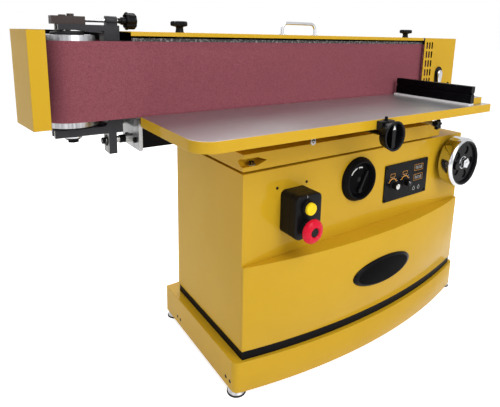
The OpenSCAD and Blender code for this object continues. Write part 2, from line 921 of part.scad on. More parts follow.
// Polished U handle on the top cover
module pull_handle() {
  rise = pull_h - pull_d / 2;
  color("silver") translate([pull_x, pull_y, cover_z]) {
    for (s = [-1, 1]) translate([s * pull_span / 2, 0, 0]) {
      cylinder(d = pull_d, h = rise - pull_bend_r);
      cylinder(d = pull_d * 2, h = sheet_t);
      translate([-s * pull_bend_r, 0, rise - pull_bend_r]) rotate([90, s < 0 ? -90 : 0, 0])
        rotate_extrude(angle = 90) translate([pull_bend_r, 0]) circle(d = pull_d, $fn = 32);
    }
    along_x([-pull_span / 2 + pull_bend_r, 0, rise], pull_d, pull_span - 2 * pull_bend_r);
  }
}

// Sheet cover behind the belt with the hinge leaves of the guard and the end cover
module rear_cover() {
  color("goldenrod") {
    difference() {
      block([guard_hinge_x + hinge_r + leaf_w, back_y, beam_top - rear_lap], [end_x1 - hinge_r - sheet_t,
        back_y + sheet_t, cover_z - sheet_t]);
      along_y([port_x, back_y - cut, port_z], port_d - 2 * port_wall, sheet_t + 2 * cut);
    }
    hinge_ends(guard_hinge_x, guard_hinge_y, guard_z0, 1);
    hinge_ends(end_hinge_x, end_hinge_y, end_bottom, -1);
  }
}

// Two outer knuckles with a pin between them, and the leaves that hold them on the rear cover
module hinge_ends(x, y, z0, side) {
  span = cover_z - sheet_t - z0;
  knuckle = span * knuckle_share;
  for (z = [z0 + span * knuckle_low_share, z0 + span * (1 - knuckle_low_share) - knuckle]) {
    translate([x, y, z]) cylinder(r = hinge_r, h = knuckle);
    block([min(x, x + side * (leaf_w + hinge_r + leaf_lap)), back_y + sheet_t, z],
      [max(x, x + side * (leaf_w + hinge_r + leaf_lap)), back_y + 2 * sheet_t, z + knuckle]);
  }
  translate([x, y, z0 + span * knuckle_low_share + knuckle - cut])
    cylinder(r = hinge_pin_r, h = span * (1 - 2 * knuckle_low_share) - 2 * knuckle + 2 * cut);
}

// The middle knuckle of a hinge with its pin bore
module hinge_middle(x, y, z0) {
  span = cover_z - sheet_t - z0;
  knuckle = span * knuckle_share;
  low = z0 + span * knuckle_low_share + knuckle + move_gap;
  high = z0 + span * (1 - knuckle_low_share) - knuckle - move_gap;
  translate([x, y, low]) difference() {
    union() {
      cylinder(r = hinge_r, h = high - low);
      children();
    }
    translate([0, 0, -cut]) cylinder(r = hinge_pin_r + run_fit, h = high - low + 2 * cut);
  }
}

// Round collar for a dust hose on the rear cover
module dust_port() {
  color("black") translate([port_x, back_y + sheet_t, port_z]) rotate([-90, 0, 0]) difference() {
    union() {
      cylinder(d = port_d, h = port_l);
      cylinder(d = port_d + 2 * port_flange, h = port_wall);
    }
    translate([0, 0, -cut]) cylinder(d = port_d - 2 * port_wall, h = port_l + 2 * cut);
  }
}

// Plate on the beam's drive end that the motor hangs from
module motor_plate() {
  color("dimgray") difference() {
    block([motor_plate_x0, belt_y + motor_plate_in, beam_top], [motor_plate_x1, back_y,
      beam_top + motor_plate_t]);
    translate([drive_x, axis_y, beam_top - cut])
      cylinder(d = drive_shaft_d + wheel_hole_gap, h = motor_plate_t + 2 * cut);
  }
}

// Finned motor body with its flange, terminal box and shaft bore
module motor_body() {
  color("dimgray") translate([drive_x, axis_y, motor_top]) difference() {
    union() {
      translate([0, 0, -motor_flange_t]) cylinder(d = motor_flange_d, h = motor_flange_t);
      translate([0, 0, -motor_l]) cylinder(d = motor_d - 2 * motor_fin_d, h = motor_l);
      for (i = [0:motor_fins - 1]) rotate(i * 360 / motor_fins)
        translate([motor_d / 2 - 2 * motor_fin_d, -fin_t / 2, -motor_l + motor_fin_d])
          cube([2 * motor_fin_d, fin_t, motor_l - motor_flange_t - 2 * motor_fin_d]);
      block([-term_w / 2, motor_d / 2 - 2 * motor_fin_d, -motor_l / 2 - term_h / 2],
        [term_w / 2, motor_d / 2 + term_d, -motor_l / 2 + term_h / 2]);
    }
    translate([0, 0, -shaft_depth]) cylinder(d = drive_shaft_d + 2 * run_fit, h = shaft_depth + cut);
  }
}

// Pressed cover over the motor's fan, slotted below
module motor_fan_cover() {
  color("black") translate([drive_x, axis_y, motor_top - motor_l - fan_cover_l]) difference() {
    cylinder(d1 = motor_d - 4 * motor_fin_d, d2 = motor_d, h = fan_cover_l);
    for (i = [0:fan_slots - 1]) rotate(i * 360 / fan_slots)
      translate([motor_d * fan_slot_share, 0, -cut]) cylinder(d = fan_slot_d, h = fan_cover_l / 2);
  }
}

// Closed right angle gearbox behind the handwheel
module lift_gearbox() {
  color("dimgray") difference() {
    block([wheel_x - gearbox_w / 2, gearbox_front, wheel_z - gearbox_h / 2],
      [wheel_x + gearbox_w / 2, gearbox_front + gearbox_d, wheel_z + gearbox_h / 2]);
    along_y([wheel_x, gearbox_front - cut, wheel_z], wheel_shaft_d + 2 * run_fit, gearbox_bore + cut);
    along_x([wheel_x - gearbox_w / 2 - cut, cross_y, wheel_z], cross_d + 2 * run_fit, cross_bore + cut);
  }
}

// Two closed screw jacks under the deck
module screw_jacks() {
  color("dimgray") for (x = lift_x) difference() {
    block([x - jack_w / 2, lift_y - jack_d / 2 - jack_front, cab_top - cab_t - jack_h],
      [x + jack_w / 2, lift_y + jack_d / 2, cab_top - cab_t]);
    translate([x, lift_y, cab_top - cab_t - jack_h - cut]) cylinder(d = screw_d + 2 * run_fit,
      h = jack_h + 2 * cut);
    along_x([x - jack_w / 2 - cut, cross_y, wheel_z], cross_d + 2 * run_fit, jack_w + 2 * cut);
  }
}

// Flanged guide bushes for the table's posts
module guide_bushes() {
  color("silver") for (x = post_x) translate([x, lift_y, cab_top - cab_t - bush_l]) difference() {
    union() {
      cylinder(d = post_d + 2 * bush_wall, h = bush_l);
      translate([0, 0, bush_l - bush_wall]) cylinder(d = post_d + 4 * bush_wall, h = bush_wall);
    }
    translate([0, 0, -cut]) cylinder(d = post_d + 2 * run_fit, h = bush_l + 2 * cut);
  }
}

// A drum: a cylinder with a ring shaped recess in each end, bored for its shaft
module drum(bore) {
  difference() {
    cylinder(d = drum_d, h = drum_z1 - drum_z0, $fn = 128);
    for (z = [-cut, drum_z1 - drum_z0 - drum_recess])
      translate([0, 0, z]) difference() {
        cylinder(d = drum_d - 2 * drum_wall, h = drum_recess + cut);
        translate([0, 0, -cut]) cylinder(d = drum_hub_d, h = drum_recess + 3 * cut);
      }
    translate([0, 0, -cut]) cylinder(d = bore, h = drum_z1 - drum_z0 + 2 * cut);
  }
}

// Drive drum keyed on the motor shaft
module drive_drum() {
  color("dimgray") translate([drive_x, axis_y, drum_z0]) drum(drive_shaft_d);
}

// Motor shaft up through the drive drum
module drive_shaft() {
  color("silver") translate([drive_x, axis_y, motor_top - shaft_depth + shaft_end_gap])
    cylinder(d = drive_shaft_d, h = drum_z1 - motor_top + shaft_depth - shaft_end_gap);
}

// Side profile of the yoke: two arms, an upright leg and the lug of the lower guide rod
module yoke_profile() {
  arm_x0 = idler_x - arm_reach;
  low_x0 = idler_x - lower_reach;
  difference() {
    union() {
      translate([arm_x0, yoke_top - yoke_upper_t]) square([leg_x1 - arm_x0, yoke_upper_t]);
      translate([low_x0, yoke_low]) square([leg_x1 - low_x0, yoke_lower_t]);
      translate([leg_x0 - yoke_fillet_r, yoke_low])
        square([yoke_leg_w + yoke_fillet_r, yoke_top - yoke_low]);
      translate([leg_x0, yoke_low - lug_h]) square([lug_w, lug_h + cut]);
    }
    translate([leg_x0 - 2 * yoke_fillet_r, yoke_low + yoke_lower_t + yoke_fillet_r])
      square([2 * yoke_fillet_r, yoke_top - yoke_upper_t - yoke_low - yoke_lower_t - 2 * yoke_fillet_r]);
    for (z = [yoke_low + yoke_lower_t + yoke_fillet_r, yoke_top - yoke_upper_t - yoke_fillet_r])
      translate([leg_x0 - yoke_fillet_r, z]) circle(yoke_fillet_r);
  }
}

// C shaped casting that holds the idler drum and slides on the guide rods
module idler_yoke() {
  color("black") difference() {
    translate([0, axis_y + yoke_w / 2, 0]) rotate([90, 0, 0]) linear_extrude(yoke_w) yoke_profile();
    // Open slots for the shaft at both arm ends
    for (z = [yoke_low - cut, yoke_top - yoke_upper_t - cut])
      block([idler_x - lower_reach - cut, axis_y - slot_w / 2, z],
        [idler_x, axis_y + slot_w / 2, z + yoke_lower_t + 2 * cut]);
    for (z = [yoke_low - cut, yoke_top - yoke_upper_t - cut])
      translate([idler_x, axis_y, z]) cylinder(d = slot_w, h = yoke_lower_t + 2 * cut);
    along_x([leg_x0 - cut, axis_y, rod_z], rod_d + 2 * run_fit, lug_w + 2 * cut);
    along_x([leg_x0 - cut, axis_y, rod_top_z], rod_d + 2 * run_fit, yoke_leg_w + 2 * cut);
  }
}

// Idler shaft with the nut and washer under the lower arm
module idler_shaft() {
  color("silver") translate([idler_x, axis_y, 0]) {
    translate([0, 0, yoke_low - nut_h - washer_t]) cylinder(d = idler_shaft_d,
      h = shaft_top - yoke_low + nut_h + washer_t);
    translate([0, 0, yoke_low - washer_t]) cylinder(d = idler_shaft_d * 2, h = washer_t);
    translate([0, 0, yoke_low - washer_t - nut_h]) cylinder(d = idler_shaft_d * nut_share, h = nut_h,
      $fn = bolt_sides);
  }
}

// Tracking block that holds the shaft's top end over the upper arm
module tracking_block() {
  x0 = idler_x - block_w * block_left_share;
  color("black") difference() {
    union() {
      block([x0, axis_y - block_d / 2, yoke_top], [x0 + block_w, axis_y + block_d / 2,
        yoke_top + block_h]);
      translate([idler_x + block_cap_d * cap_gap_share, axis_y, yoke_top + block_h])
        cylinder(d = block_cap_d, h = block_cap_h, $fn = bolt_sides);
      translate([idler_x - block_cap_d * cap_gap_share, axis_y, yoke_top + block_h])
        cylinder(d = block_cap_d, h = block_cap_h * cap_low_share);
    }
    translate([idler_x, axis_y, yoke_top - cut]) cylinder(d = idler_shaft_d,
      h = shaft_top - yoke_top + cut);
    along_x([x0 + block_w - track_bite, axis_y, screw_z], track_screw_d + 2 * run_fit,
      track_bite + cut);
  }
}

// Round nut on the yoke's end that the tracking screw runs in
module tracking_nut() {
  color("black") difference() {
    union() {
      along_x([leg_x1 - track_nut_w, axis_y, screw_z], track_nut_d, track_nut_w);
      block([leg_x1 - track_nut_w, axis_y - track_nut_d * nut_foot_share, yoke_top], [leg_x1,
        axis_y + track_nut_d * nut_foot_share, screw_z]);
    }
    along_x([leg_x1 - track_nut_w - cut, axis_y, screw_z], track_screw_d + 2 * run_fit,
      track_nut_w + 2 * cut);
  }
}

// Idler drum with a running bore on its shaft
module idler_drum() {
  color("silver") translate([idler_x, axis_y, drum_z0]) drum(idler_shaft_d + 2 * run_fit);
}

// Fluted tracking knob with its screw
module tracking_knob() {
  x0 = idler_x - block_w * block_left_share + block_w - track_bite + cut;
  x1 = leg_x1 + knob_gap;
  color("black") {
    along_x([x0, axis_y, screw_z], track_screw_d, x1 - x0 + cut);
    translate([x1, axis_y, screw_z]) rotate([0, 90, 0]) {
      cylinder(d1 = knob_neck_d, d2 = knob_neck_d * neck_share, h = knob_neck_l);
      translate([0, 0, knob_neck_l]) linear_extrude(knob_disc_t) lobed(track_knob_d, knob_lobes,
        track_lobe_share);
    }
  }
}

// Plan of the end guard's sheet at an inset
module guard_plan(inset) {
  polygon([[guard_x1 + cut, guard_front_y + inset], [guard_x0 + inset, guard_front_y + inset],
    [guard_x0 - guard_tilt + inset, guard_mid_y], [guard_x0 - guard_tilt + guard_chamfer + inset,
      guard_back_y - inset],
    [guard_hinge_x, guard_back_y - inset], [guard_hinge_x, guard_mid_y], [guard_x1 + cut,
      guard_mid_y]]);
}

// End guard round the idler drum, hinged at the back
module end_guard() {
  span = cover_z - sheet_t - guard_z0;
  knuckle = span * knuckle_share;
  inner = span - 2 * (span * knuckle_low_share + knuckle + move_gap);
  color("gold") {
    translate([0, 0, guard_z0]) linear_extrude(cover_z - guard_z0) difference() {
      guard_plan(0);
      guard_plan(sheet_t);
      translate([guard_x1, guard_front_y - cut]) square([guard_hinge_x - guard_x1,
        guard_back_y - guard_front_y - sheet_t + cut]);
      translate([guard_hinge_x - hinge_r - leaf_w, guard_front_y]) square([2 * leaf_w + hinge_r,
        guard_back_y - guard_front_y + cut]);
    }
    hinge_middle(guard_hinge_x, guard_hinge_y, guard_z0)
      translate([-hinge_r - leaf_w - leaf_lap, -sheet_t, 0]) cube([hinge_r + leaf_w + leaf_lap,
        sheet_t, inner]);
  }
}

// Drive end cover: vented front, side and top sheets on a rear hinge
module end_cover() {
  span = cover_z - sheet_t - end_bottom;
  knuckle = span * knuckle_share;
  inner = span - 2 * (span * knuckle_low_share + knuckle + move_gap);
  color("gold") {
    difference() {
      union() {
        block([end_x0 + move_gap, end_front_y, end_bottom], [end_x1, end_front_y + sheet_t, cover_z]);
        block([end_x1 - sheet_t, end_front_y, end_bottom], [end_x1, back_y - cover_clear, cover_z]);
        block([end_x0 + move_gap, end_front_y, cover_z - sheet_t], [end_x1, back_y - cover_clear,
          cover_z]);
      }
      for (i = [0:vent_cols - 1], j = [0:vent_rows - 1])
        translate([end_x0 + vent_inset + i * vent_pitch_x, end_front_y + sheet_t + cut,
          cover_z - vent_top - vent_h / 2 - j * vent_pitch_z])
          rotate([90, 0, 0]) linear_extrude(sheet_t + 2 * cut) round_rect(vent_w, vent_h,
            vent_w * round_end_share);
      along_y([latch_x, end_front_y - cut, latch_z], latch_spindle_d + 2 * run_fit, sheet_t + 2 * cut);
    }
    hinge_middle(end_hinge_x, end_hinge_y, end_bottom)
      translate([-sheet_t / 2, -end_hinge_y + back_y - 2 * cover_clear, 0]) cube([sheet_t,
        end_hinge_y - back_y + 2 * cover_clear, inner]);
    along_y([end_x1 - plug_inset, end_front_y - screw_head_t, end_bottom + plug_up], plug_d,
      screw_head_t);
  }
  latch_plate();
}

// Black escutcheon of the latch, a drop shaped plate on the end cover
module latch_plate() {
  color("black") translate([latch_x, end_front_y, latch_z]) rotate([90, 0, 0])
    linear_extrude(latch_t) difference() {
    union() {
      translate([0, latch_h / 2 - latch_w / 2]) circle(d = latch_w);
      translate([-latch_w / 2, -latch_h / 2 + latch_w / 4]) square([latch_w,
        latch_h - latch_w * 3 / 4]);
      translate([0, -latch_h / 2 + latch_w / 2]) circle(d = latch_w);
    }
    circle(d = latch_spindle_d + 2 * run_fit);
  }
}

// Chrome latch lever with its spindle
module latch_lever() {
  color("silver") translate([latch_x, end_front_y - latch_t - move_gap, latch_z]) rotate([90, 0, 0]) {
    translate([0, 0, -latch_t - move_gap - sheet_t - lever_t]) cylinder(d = latch_spindle_d,
      h = latch_t + move_gap + sheet_t + lever_t + cut);
    linear_extrude(lever_t) {
      circle(d = lever_w);
      translate([-lever_w / 2 * lever_tip_share, -lever_l]) square([lever_w * lever_tip_share,
        lever_l]);
      translate([0, -lever_l]) circle(d = lever_w * lever_tip_share);
    }
    cylinder(d = lever_w * lever_hub_share, h = lever_t * 2);
  }
}

// A lobed knob on a stud through the top cover
module cover_knob(x) {
  color("black") translate([x, knob_y, cover_z]) {
    cylinder(d = cover_knob_d * knob_foot_share, h = cover_knob_h / 2);
    translate([0, 0, cover_knob_h / 2]) linear_extrude(cover_knob_h / 2) lobed(cover_knob_d,
      cover_lobes, cover_lobe_share);
    translate([0, 0, -cover_knob_stud_l + cut]) cylinder(d = cover_knob_stud_d, h = cover_knob_stud_l);
  }
}

module cover_knob_left() {
  cover_knob(knob_x[0]);
}

module cover_knob_right() {
  cover_knob(knob_x[1]);
}

// Plan of the table at an inset: a wide front left corner, the others square
module table_plan(inset) {
  x0 = table_x0 + inset;
  x1 = table_x1 - inset;
  y0 = table_y0 + inset;
  y1 = table_y1 - inset;
  front_r = table_corner_r - inset;
  translate([x0, y0 + front_r]) square([x1 - x0, y1 - y0 - front_r]);
  translate([x0 + front_r, y0]) square([x1 - x0 - front_r, front_r + cut]);
  translate([x0 + front_r, y0 + front_r]) circle(front_r);
}

// Cast table: ground plate, deep rim and cross ribs below
module table_top() {
  color("silver") difference() {
    translate([0, 0, table_z0]) linear_extrude(table_rim_h) table_plan(0);
    translate([0, 0, table_z0 - cut]) linear_extrude(table_rim_h - table_plate_t + cut) difference() {
      table_plan(rim_t);
      for (i = [1:table_ribs]) translate([table_x0 + table_l * i / (table_ribs + 1) - rib_t / 2,
        table_y0])
        square([rib_t, table_d]);
    }
  }
}

// Painted casting under the table that rises with it: a deep flange with a bolt pocket at its front
// left corner, and a hollow box set back over it
module table_carriage() {
  wall = carriage_wall;
  color("goldenrod") difference() {
    union() {
      block([cab_x0, cab_y0, carriage_z0], [carriage_x1, carriage_y1, flange_z]);
      block([cab_x0, carriage_y0, flange_z - cut], [carriage_x1, carriage_y1, table_z0]);
    }
    block([cab_x0 + wall, cab_y0 + wall, carriage_z0 + wall],
      [carriage_x1 - wall, carriage_y1 - wall, flange_z - wall]);
    block([cab_x0 + wall, carriage_y0 + wall, flange_z - wall - cut],
      [carriage_x1 - wall, carriage_y1 - wall, table_z0 + cut]);
    block([cab_x0 - cut, cab_y0 - cut, carriage_z0 + wall],
      [cab_x0 + pocket_w, cab_y0 + pocket_d, carriage_z0 + wall + pocket_h]);
    block([carriage_x1 - step_w, cab_y0 - cut, table_z0 - step_h],
      [carriage_x1 + cut, carriage_y1 + cut, table_z0 + cut]);
    along_y([lock_x, carriage_y0 - cut, lock_z], lock_shaft_d + 2 * run_fit, wall + 2 * cut);
    along_y([clamp_x, carriage_y0 - cut, clamp_z], clamp_rod_d + 2 * run_fit, wall + 2 * cut);
  }
  color("goldenrod") {
    block([cab_x0, cab_y0 + pocket_d, carriage_z0 + wall],
      [cab_x0 + pocket_w + wall, cab_y0 + pocket_d + wall, carriage_z0 + wall + pocket_h]);
    block([cab_x0 + pocket_w, cab_y0, carriage_z0 + wall],
      [cab_x0 + pocket_w + wall, cab_y0 + pocket_d + wall, carriage_z0 + wall + pocket_h]);
  }
  color("black") translate([cab_x0 + pocket_w * bolt_share, cab_y0 + pocket_d / 2, carriage_z0 + wall])
    cylinder(d = bolt_d, h = bolt_h, $fn = bolt_sides);
}

// Lift screws fixed under the carriage
module lift_screws() {
  color("silver") for (x = lift_x) translate([x, lift_y, lift_bottom]) cylinder(d = screw_d,
    h = carriage_z0 - lift_bottom);
}

// Guide posts fixed under the carriage
module guide_posts() {
  color("silver") for (x = post_x) translate([x, lift_y, lift_bottom]) cylinder(d = post_d,
    h = carriage_z0 - lift_bottom);
}

// Hooded bracket on the table's front edge over the lock knob
module lock_bracket() {
  color("black") difference() {
    block([lock_x - lock_bracket_w / 2, table_y0 - lock_bracket_t, table_z0],
      [lock_x + lock_bracket_w / 2, table_y0, table_h - bracket_down]);
    block([lock_x - lock_bracket_w / 2 + lock_wall, table_y0 - lock_bracket_t - cut, table_z0 - cut],
      [lock_x + lock_bracket_w / 2 - lock_wall, table_y0 - lock_wall,
        table_h - bracket_down - lock_wall]);
  }
}

// A cup shaped knob with a bar across its mouth, mouth towards -Y
module cup_knob(d, l, wall, bar_w) {
  rotate([90, 0, 0]) {
    difference() {
      cylinder(d1 = d * cup_foot_share, d2 = d, h = l);
      translate([0, 0, wall]) cylinder(d1 = d * cup_foot_share - 2 * wall, d2 = d - 2 * wall,
        h = l - wall + cut);
    }
    intersection() {
      translate([0, 0, wall - cut]) linear_extrude(l - 2 * wall + cut) square([bar_w, d],
        center = true);
      cylinder(d1 = d * cup_foot_share - wall, d2 = d - wall, h = l);
    }
  }
}

// Cup shaped lock knob with the shaft that clamps the carriage
module lock_knob() {
  color("black") translate([lock_x, lock_y, lock_z]) {
    cup_knob(lock_d, lock_l, lock_wall, lock_bar_w);
    along_y([0, -cut, 0], lock_shaft_d, carriage_y0 + carriage_wall + lock_end - lock_y + cut);
  }
}

// Star knob that clamps the carriage on the right
module clamp_knob() {
  color("black") {
    translate([clamp_x, clamp_y, clamp_z]) rotate([90, 0, 0]) linear_extrude(clamp_t) lobed(clamp_d,
      clamp_lobes, cover_lobe_share);
    along_y([clamp_x, clamp_y - cut, clamp_z], clamp_rod_d,
      carriage_y0 + carriage_wall + lock_end - clamp_y + cut);
  }
}

// Fence extrusion: a hollow rectangle with T slots in its face and back
module fence_rail() {
  z0 = table_h + fence_float + strip_h;
  color("black") difference() {
    block([fence_x, fence_y1 - fence_l, z0], [fence_x + fence_t, fence_y1, table_h + fence_h]);
    for (s = [0, 1]) block([fence_x + s * (fence_t - fence_slot / 2) - cut * (1 - s),
      fence_y1 - fence_l - cut, z0 + fence_h / 2 - fence_slot / 2],
      [fence_x + s * fence_t + (1 - s) * fence_slot / 2 + s * cut, fence_y1 + cut,
        z0 + fence_h / 2 + fence_slot / 2]);
  }
}

// Bright base strip under the fence
module fence_strip() {
  color("silver") block([fence_x - strip_out, fence_y1 - fence_l, table_h + fence_float],
    [fence_x + fence_t, fence_y1, table_h + fence_float + strip_h]);
}

// Cast bracket behind the fence that clamps it on the table's end
module fence_bracket() {
  z0 = table_h + fence_float;
  color("gold") difference() {
    union() {
      block([fence_x + fence_t, bracket_y, z0], [fence_x + fence_t + bracket_l,
        bracket_y + bracket_d, z0 + bracket_h]);
      block([fence_x + fence_t, bracket_y, z0], [fence_x + fence_t + bracket_foot,
        bracket_y + bracket_d, z0 + fence_h * bracket_rise_share]);
    }
    translate([fence_x + fence_t + bracket_l / 2, bracket_y + bracket_d / 2,
      z0 + bracket_h - knob_stud_l])
      cylinder(d = cover_knob_stud_d + 2 * run_fit, h = knob_stud_l + cut);
  }
}

// Bright knob on the fence bracket
module fence_knob() {
  color("silver") translate([fence_x + fence_t + bracket_l / 2, bracket_y + bracket_d / 2,
    table_h + fence_float + bracket_h]) {
    translate([0, 0, -knob_stud_l + cut]) cylinder(d = cover_knob_stud_d, h = knob_stud_l);
    translate([0, 0, fence_float]) linear_extrude(fence_knob_h) lobed(fence_knob_d, cover_lobes,
      cover_lobe_share);
  }
}

// Handwheel: a deep rim, a web with round pockets and a finger grip, hub and shaft
module handwheel() {
  rim_in = wheel_d / 2 - wheel_rim_t;
  color("silver") translate([wheel_x, wheel_y, wheel_z]) rotate([90, 0, 0]) {
    rotate_extrude($fn = 96) translate([wheel_d / 2 - wheel_rim_t / 2, 0])
      round_rect(wheel_rim_t, wheel_rim_w, wheel_rim_r);
    translate([0, 0, web_out]) difference() {
      cylinder(r = rim_in + cut, h = web_disc_t);
      for (i = [0:web_pockets - 1]) rotate(i * 360 / web_pockets)
        translate([rim_in * web_pocket_share, 0, web_disc_t / 2])
          cylinder(d = web_pocket_d, h = web_disc_t);
    }
    rotate(grip_turn) translate([rim_in * grip_share, 0, web_out]) cylinder(d = grip_d, h = grip_l);
    translate([0, 0, -hub_l]) cylinder(d = hub_d, h = hub_l + web_out + web_disc_t);
  }
  color("silver") along_y([wheel_x, wheel_y + hub_l - cut, wheel_z], wheel_shaft_d,
    gearbox_front + gearbox_bore - shaft_end_gap - wheel_y - hub_l + cut);
}

// Lobed knob in the middle of the handwheel
module handwheel_knob() {
  color("silver") translate([wheel_x, wheel_y - web_out - web_disc_t, wheel_z]) rotate([90, 0, 0])
    linear_extrude(centre_knob_h) lobed(centre_knob_d, cover_lobes, cover_lobe_share);
}

// Cross shaft from the gearbox to both screw jacks
module cross_shaft() {
  x0 = lift_x[0] - jack_w / 2;
  color("silver") along_x([x0, cross_y, wheel_z], cross_d,
    wheel_x - gearbox_w / 2 + cross_bore - shaft_end_gap - x0);
}

// A control knob with a skirt, a grip and a spindle through the panel
module control_knob(x) {
  color("black") translate([x, cab_y0 - panel_t - move_gap, knob_z]) rotate([90, 0, 0]) {
    cylinder(d = knob_d, h = knob_skirt_t);
    cylinder(d = knob_d * knob_grip_share, h = knob_h);
    translate([0, 0, -panel_t - move_gap]) cylinder(d = knob_spindle_d, h = panel_t + move_gap + cut);
  }
}

module speed_knob() {
  control_knob(knob_xs[0]);
}

module mode_knob() {
  control_knob(knob_xs[1]);
}

// Start button with its stem in the box
module start_button() {
  color("gold") along_y([button_x, cab_y0 - switch_d - start_out, start_z], start_d,
    start_out + start_well - start_travel - move_gap);
}

// Mushroom stop button with its stem in the box
module stop_button() {
  front = cab_y0 - switch_d - stop_out;
  color("red") translate([button_x, front, stop_z]) rotate([-90, 0, 0]) {
    cylinder(d1 = stop_d * stop_face_share, d2 = stop_d, h = stop_cap_t / 2);
    translate([0, 0, stop_cap_t / 2]) cylinder(d = stop_d, h = stop_cap_t / 2);
    cylinder(d = stop_stem_d, h = stop_out + stop_well - stop_travel - move_gap);
  }
}

// Turning dial in the bezel: a shallow cup with a grip bar
module dial_cup() {
  color("black") {
    translate([dial_x, cab_y0 + dial_depth - move_gap, dial_z]) rotate([0, dial_bar_turn, 0])
      cup_knob(dial_cup_d, dial_cup_l, dial_wall, dial_bar_w);
    along_y([dial_x, cab_y0 + dial_depth - move_gap - cut, dial_z], knob_spindle_d,
      dial_wall + move_gap + cut);
  }
}

plinth();
toe_band();
leveling_feet();
cabinet_shell();
bow_panel();
rear_panel();
badge_plate();
switch_box();
control_panel();
panel_screws();
dial_bezel();
dial_cup();
head_pedestals();
head_beam();
end_plate();
guide_rods();
platen();
platen_frame();
sanding_belt();
top_cover();
pull_handle();
rear_cover();
dust_port();
motor_plate();
motor_body();
motor_fan_cover();
lift_gearbox();
screw_jacks();
guide_bushes();
drive_drum();
drive_shaft();
idler_yoke();
idler_shaft();
tracking_block();
tracking_nut();
idler_drum();
tracking_knob();
end_guard();
end_cover();
latch_lever();
cover_knob_left();
cover_knob_right();
table_top();
table_carriage();
lift_screws();
guide_posts();
lock_bracket();
lock_knob();
clamp_knob();
fence_rail();
fence_strip();
fence_bracket();
fence_knob();
handwheel();
handwheel_knob();
cross_shaft();
speed_knob();
mode_knob();
start_button();
stop_button();
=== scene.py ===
"""Edge sander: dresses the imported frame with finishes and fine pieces, and sets up the studio."""

import logging
import math
from dataclasses import dataclass
from enum import Enum, IntEnum
from functools import cache
from typing import Any, Callable, Iterable, Sequence

import bmesh
import bpy
from mathutils import Matrix, Vector


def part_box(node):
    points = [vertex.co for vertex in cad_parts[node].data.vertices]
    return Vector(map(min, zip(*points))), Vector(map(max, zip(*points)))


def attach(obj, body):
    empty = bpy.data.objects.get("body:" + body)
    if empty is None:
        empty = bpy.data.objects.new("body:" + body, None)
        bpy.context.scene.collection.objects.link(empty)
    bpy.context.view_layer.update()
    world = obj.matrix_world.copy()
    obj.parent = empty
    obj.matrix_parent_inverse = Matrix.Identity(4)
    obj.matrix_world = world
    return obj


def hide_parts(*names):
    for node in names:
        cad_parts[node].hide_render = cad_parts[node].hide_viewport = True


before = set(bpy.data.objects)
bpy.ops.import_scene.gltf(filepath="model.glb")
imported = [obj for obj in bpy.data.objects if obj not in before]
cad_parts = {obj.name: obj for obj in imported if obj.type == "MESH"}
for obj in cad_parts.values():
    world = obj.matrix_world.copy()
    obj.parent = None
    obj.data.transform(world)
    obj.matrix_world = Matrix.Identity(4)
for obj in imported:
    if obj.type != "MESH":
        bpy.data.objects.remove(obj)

LOG = logging.getLogger("edge_sander")
MM = 0.001
Point = tuple[float, float, float]
Flat = tuple[float, float]
Colour = tuple[float, float, float]
Profile = Sequence[Flat]
Levels = Sequence[Point]
WHITE = (1.0, 1.0, 1.0)


class Face(Enum):
    """The way a small piece looks out of the part: its own x is right, y is up and z is outwards."""

    FRONT = ((1, 0, 0), (0, 0, -1), (0, 1, 0))
    BACK = ((-1, 0, 0), (0, 0, 1), (0, 1, 0))
    TOP = ((1, 0, 0), (0, 1, 0), (0, 0, 1))
    LEFT = ((0, 0, -1), (-1, 0, 0), (0, 1, 0))
    RIGHT = ((0, 0, 1), (1, 0, 0), (0, 1, 0))

    def at(self, place: Sequence[float], turn: float = 0.0) -> Matrix:
        """Frame of a piece on this face.

        Args:
            place: Where the piece's own origin goes, in metres.
            turn: Turn about the outward axis, in degrees.

        Returns:
            The matrix from the piece to the part.
        """
        spin = Matrix.Rotation(math.radians(turn), 4, "Z")
        return Matrix.Translation(Vector(place)) @ Matrix(self.value).to_4x4() @ spin


class Octaves(IntEnum):
    """How finely cloudy noise is broken up."""

    SOFT = 2
    PLAIN = 3
    RICH = 4
    FULL = 5
    BUSY = 6


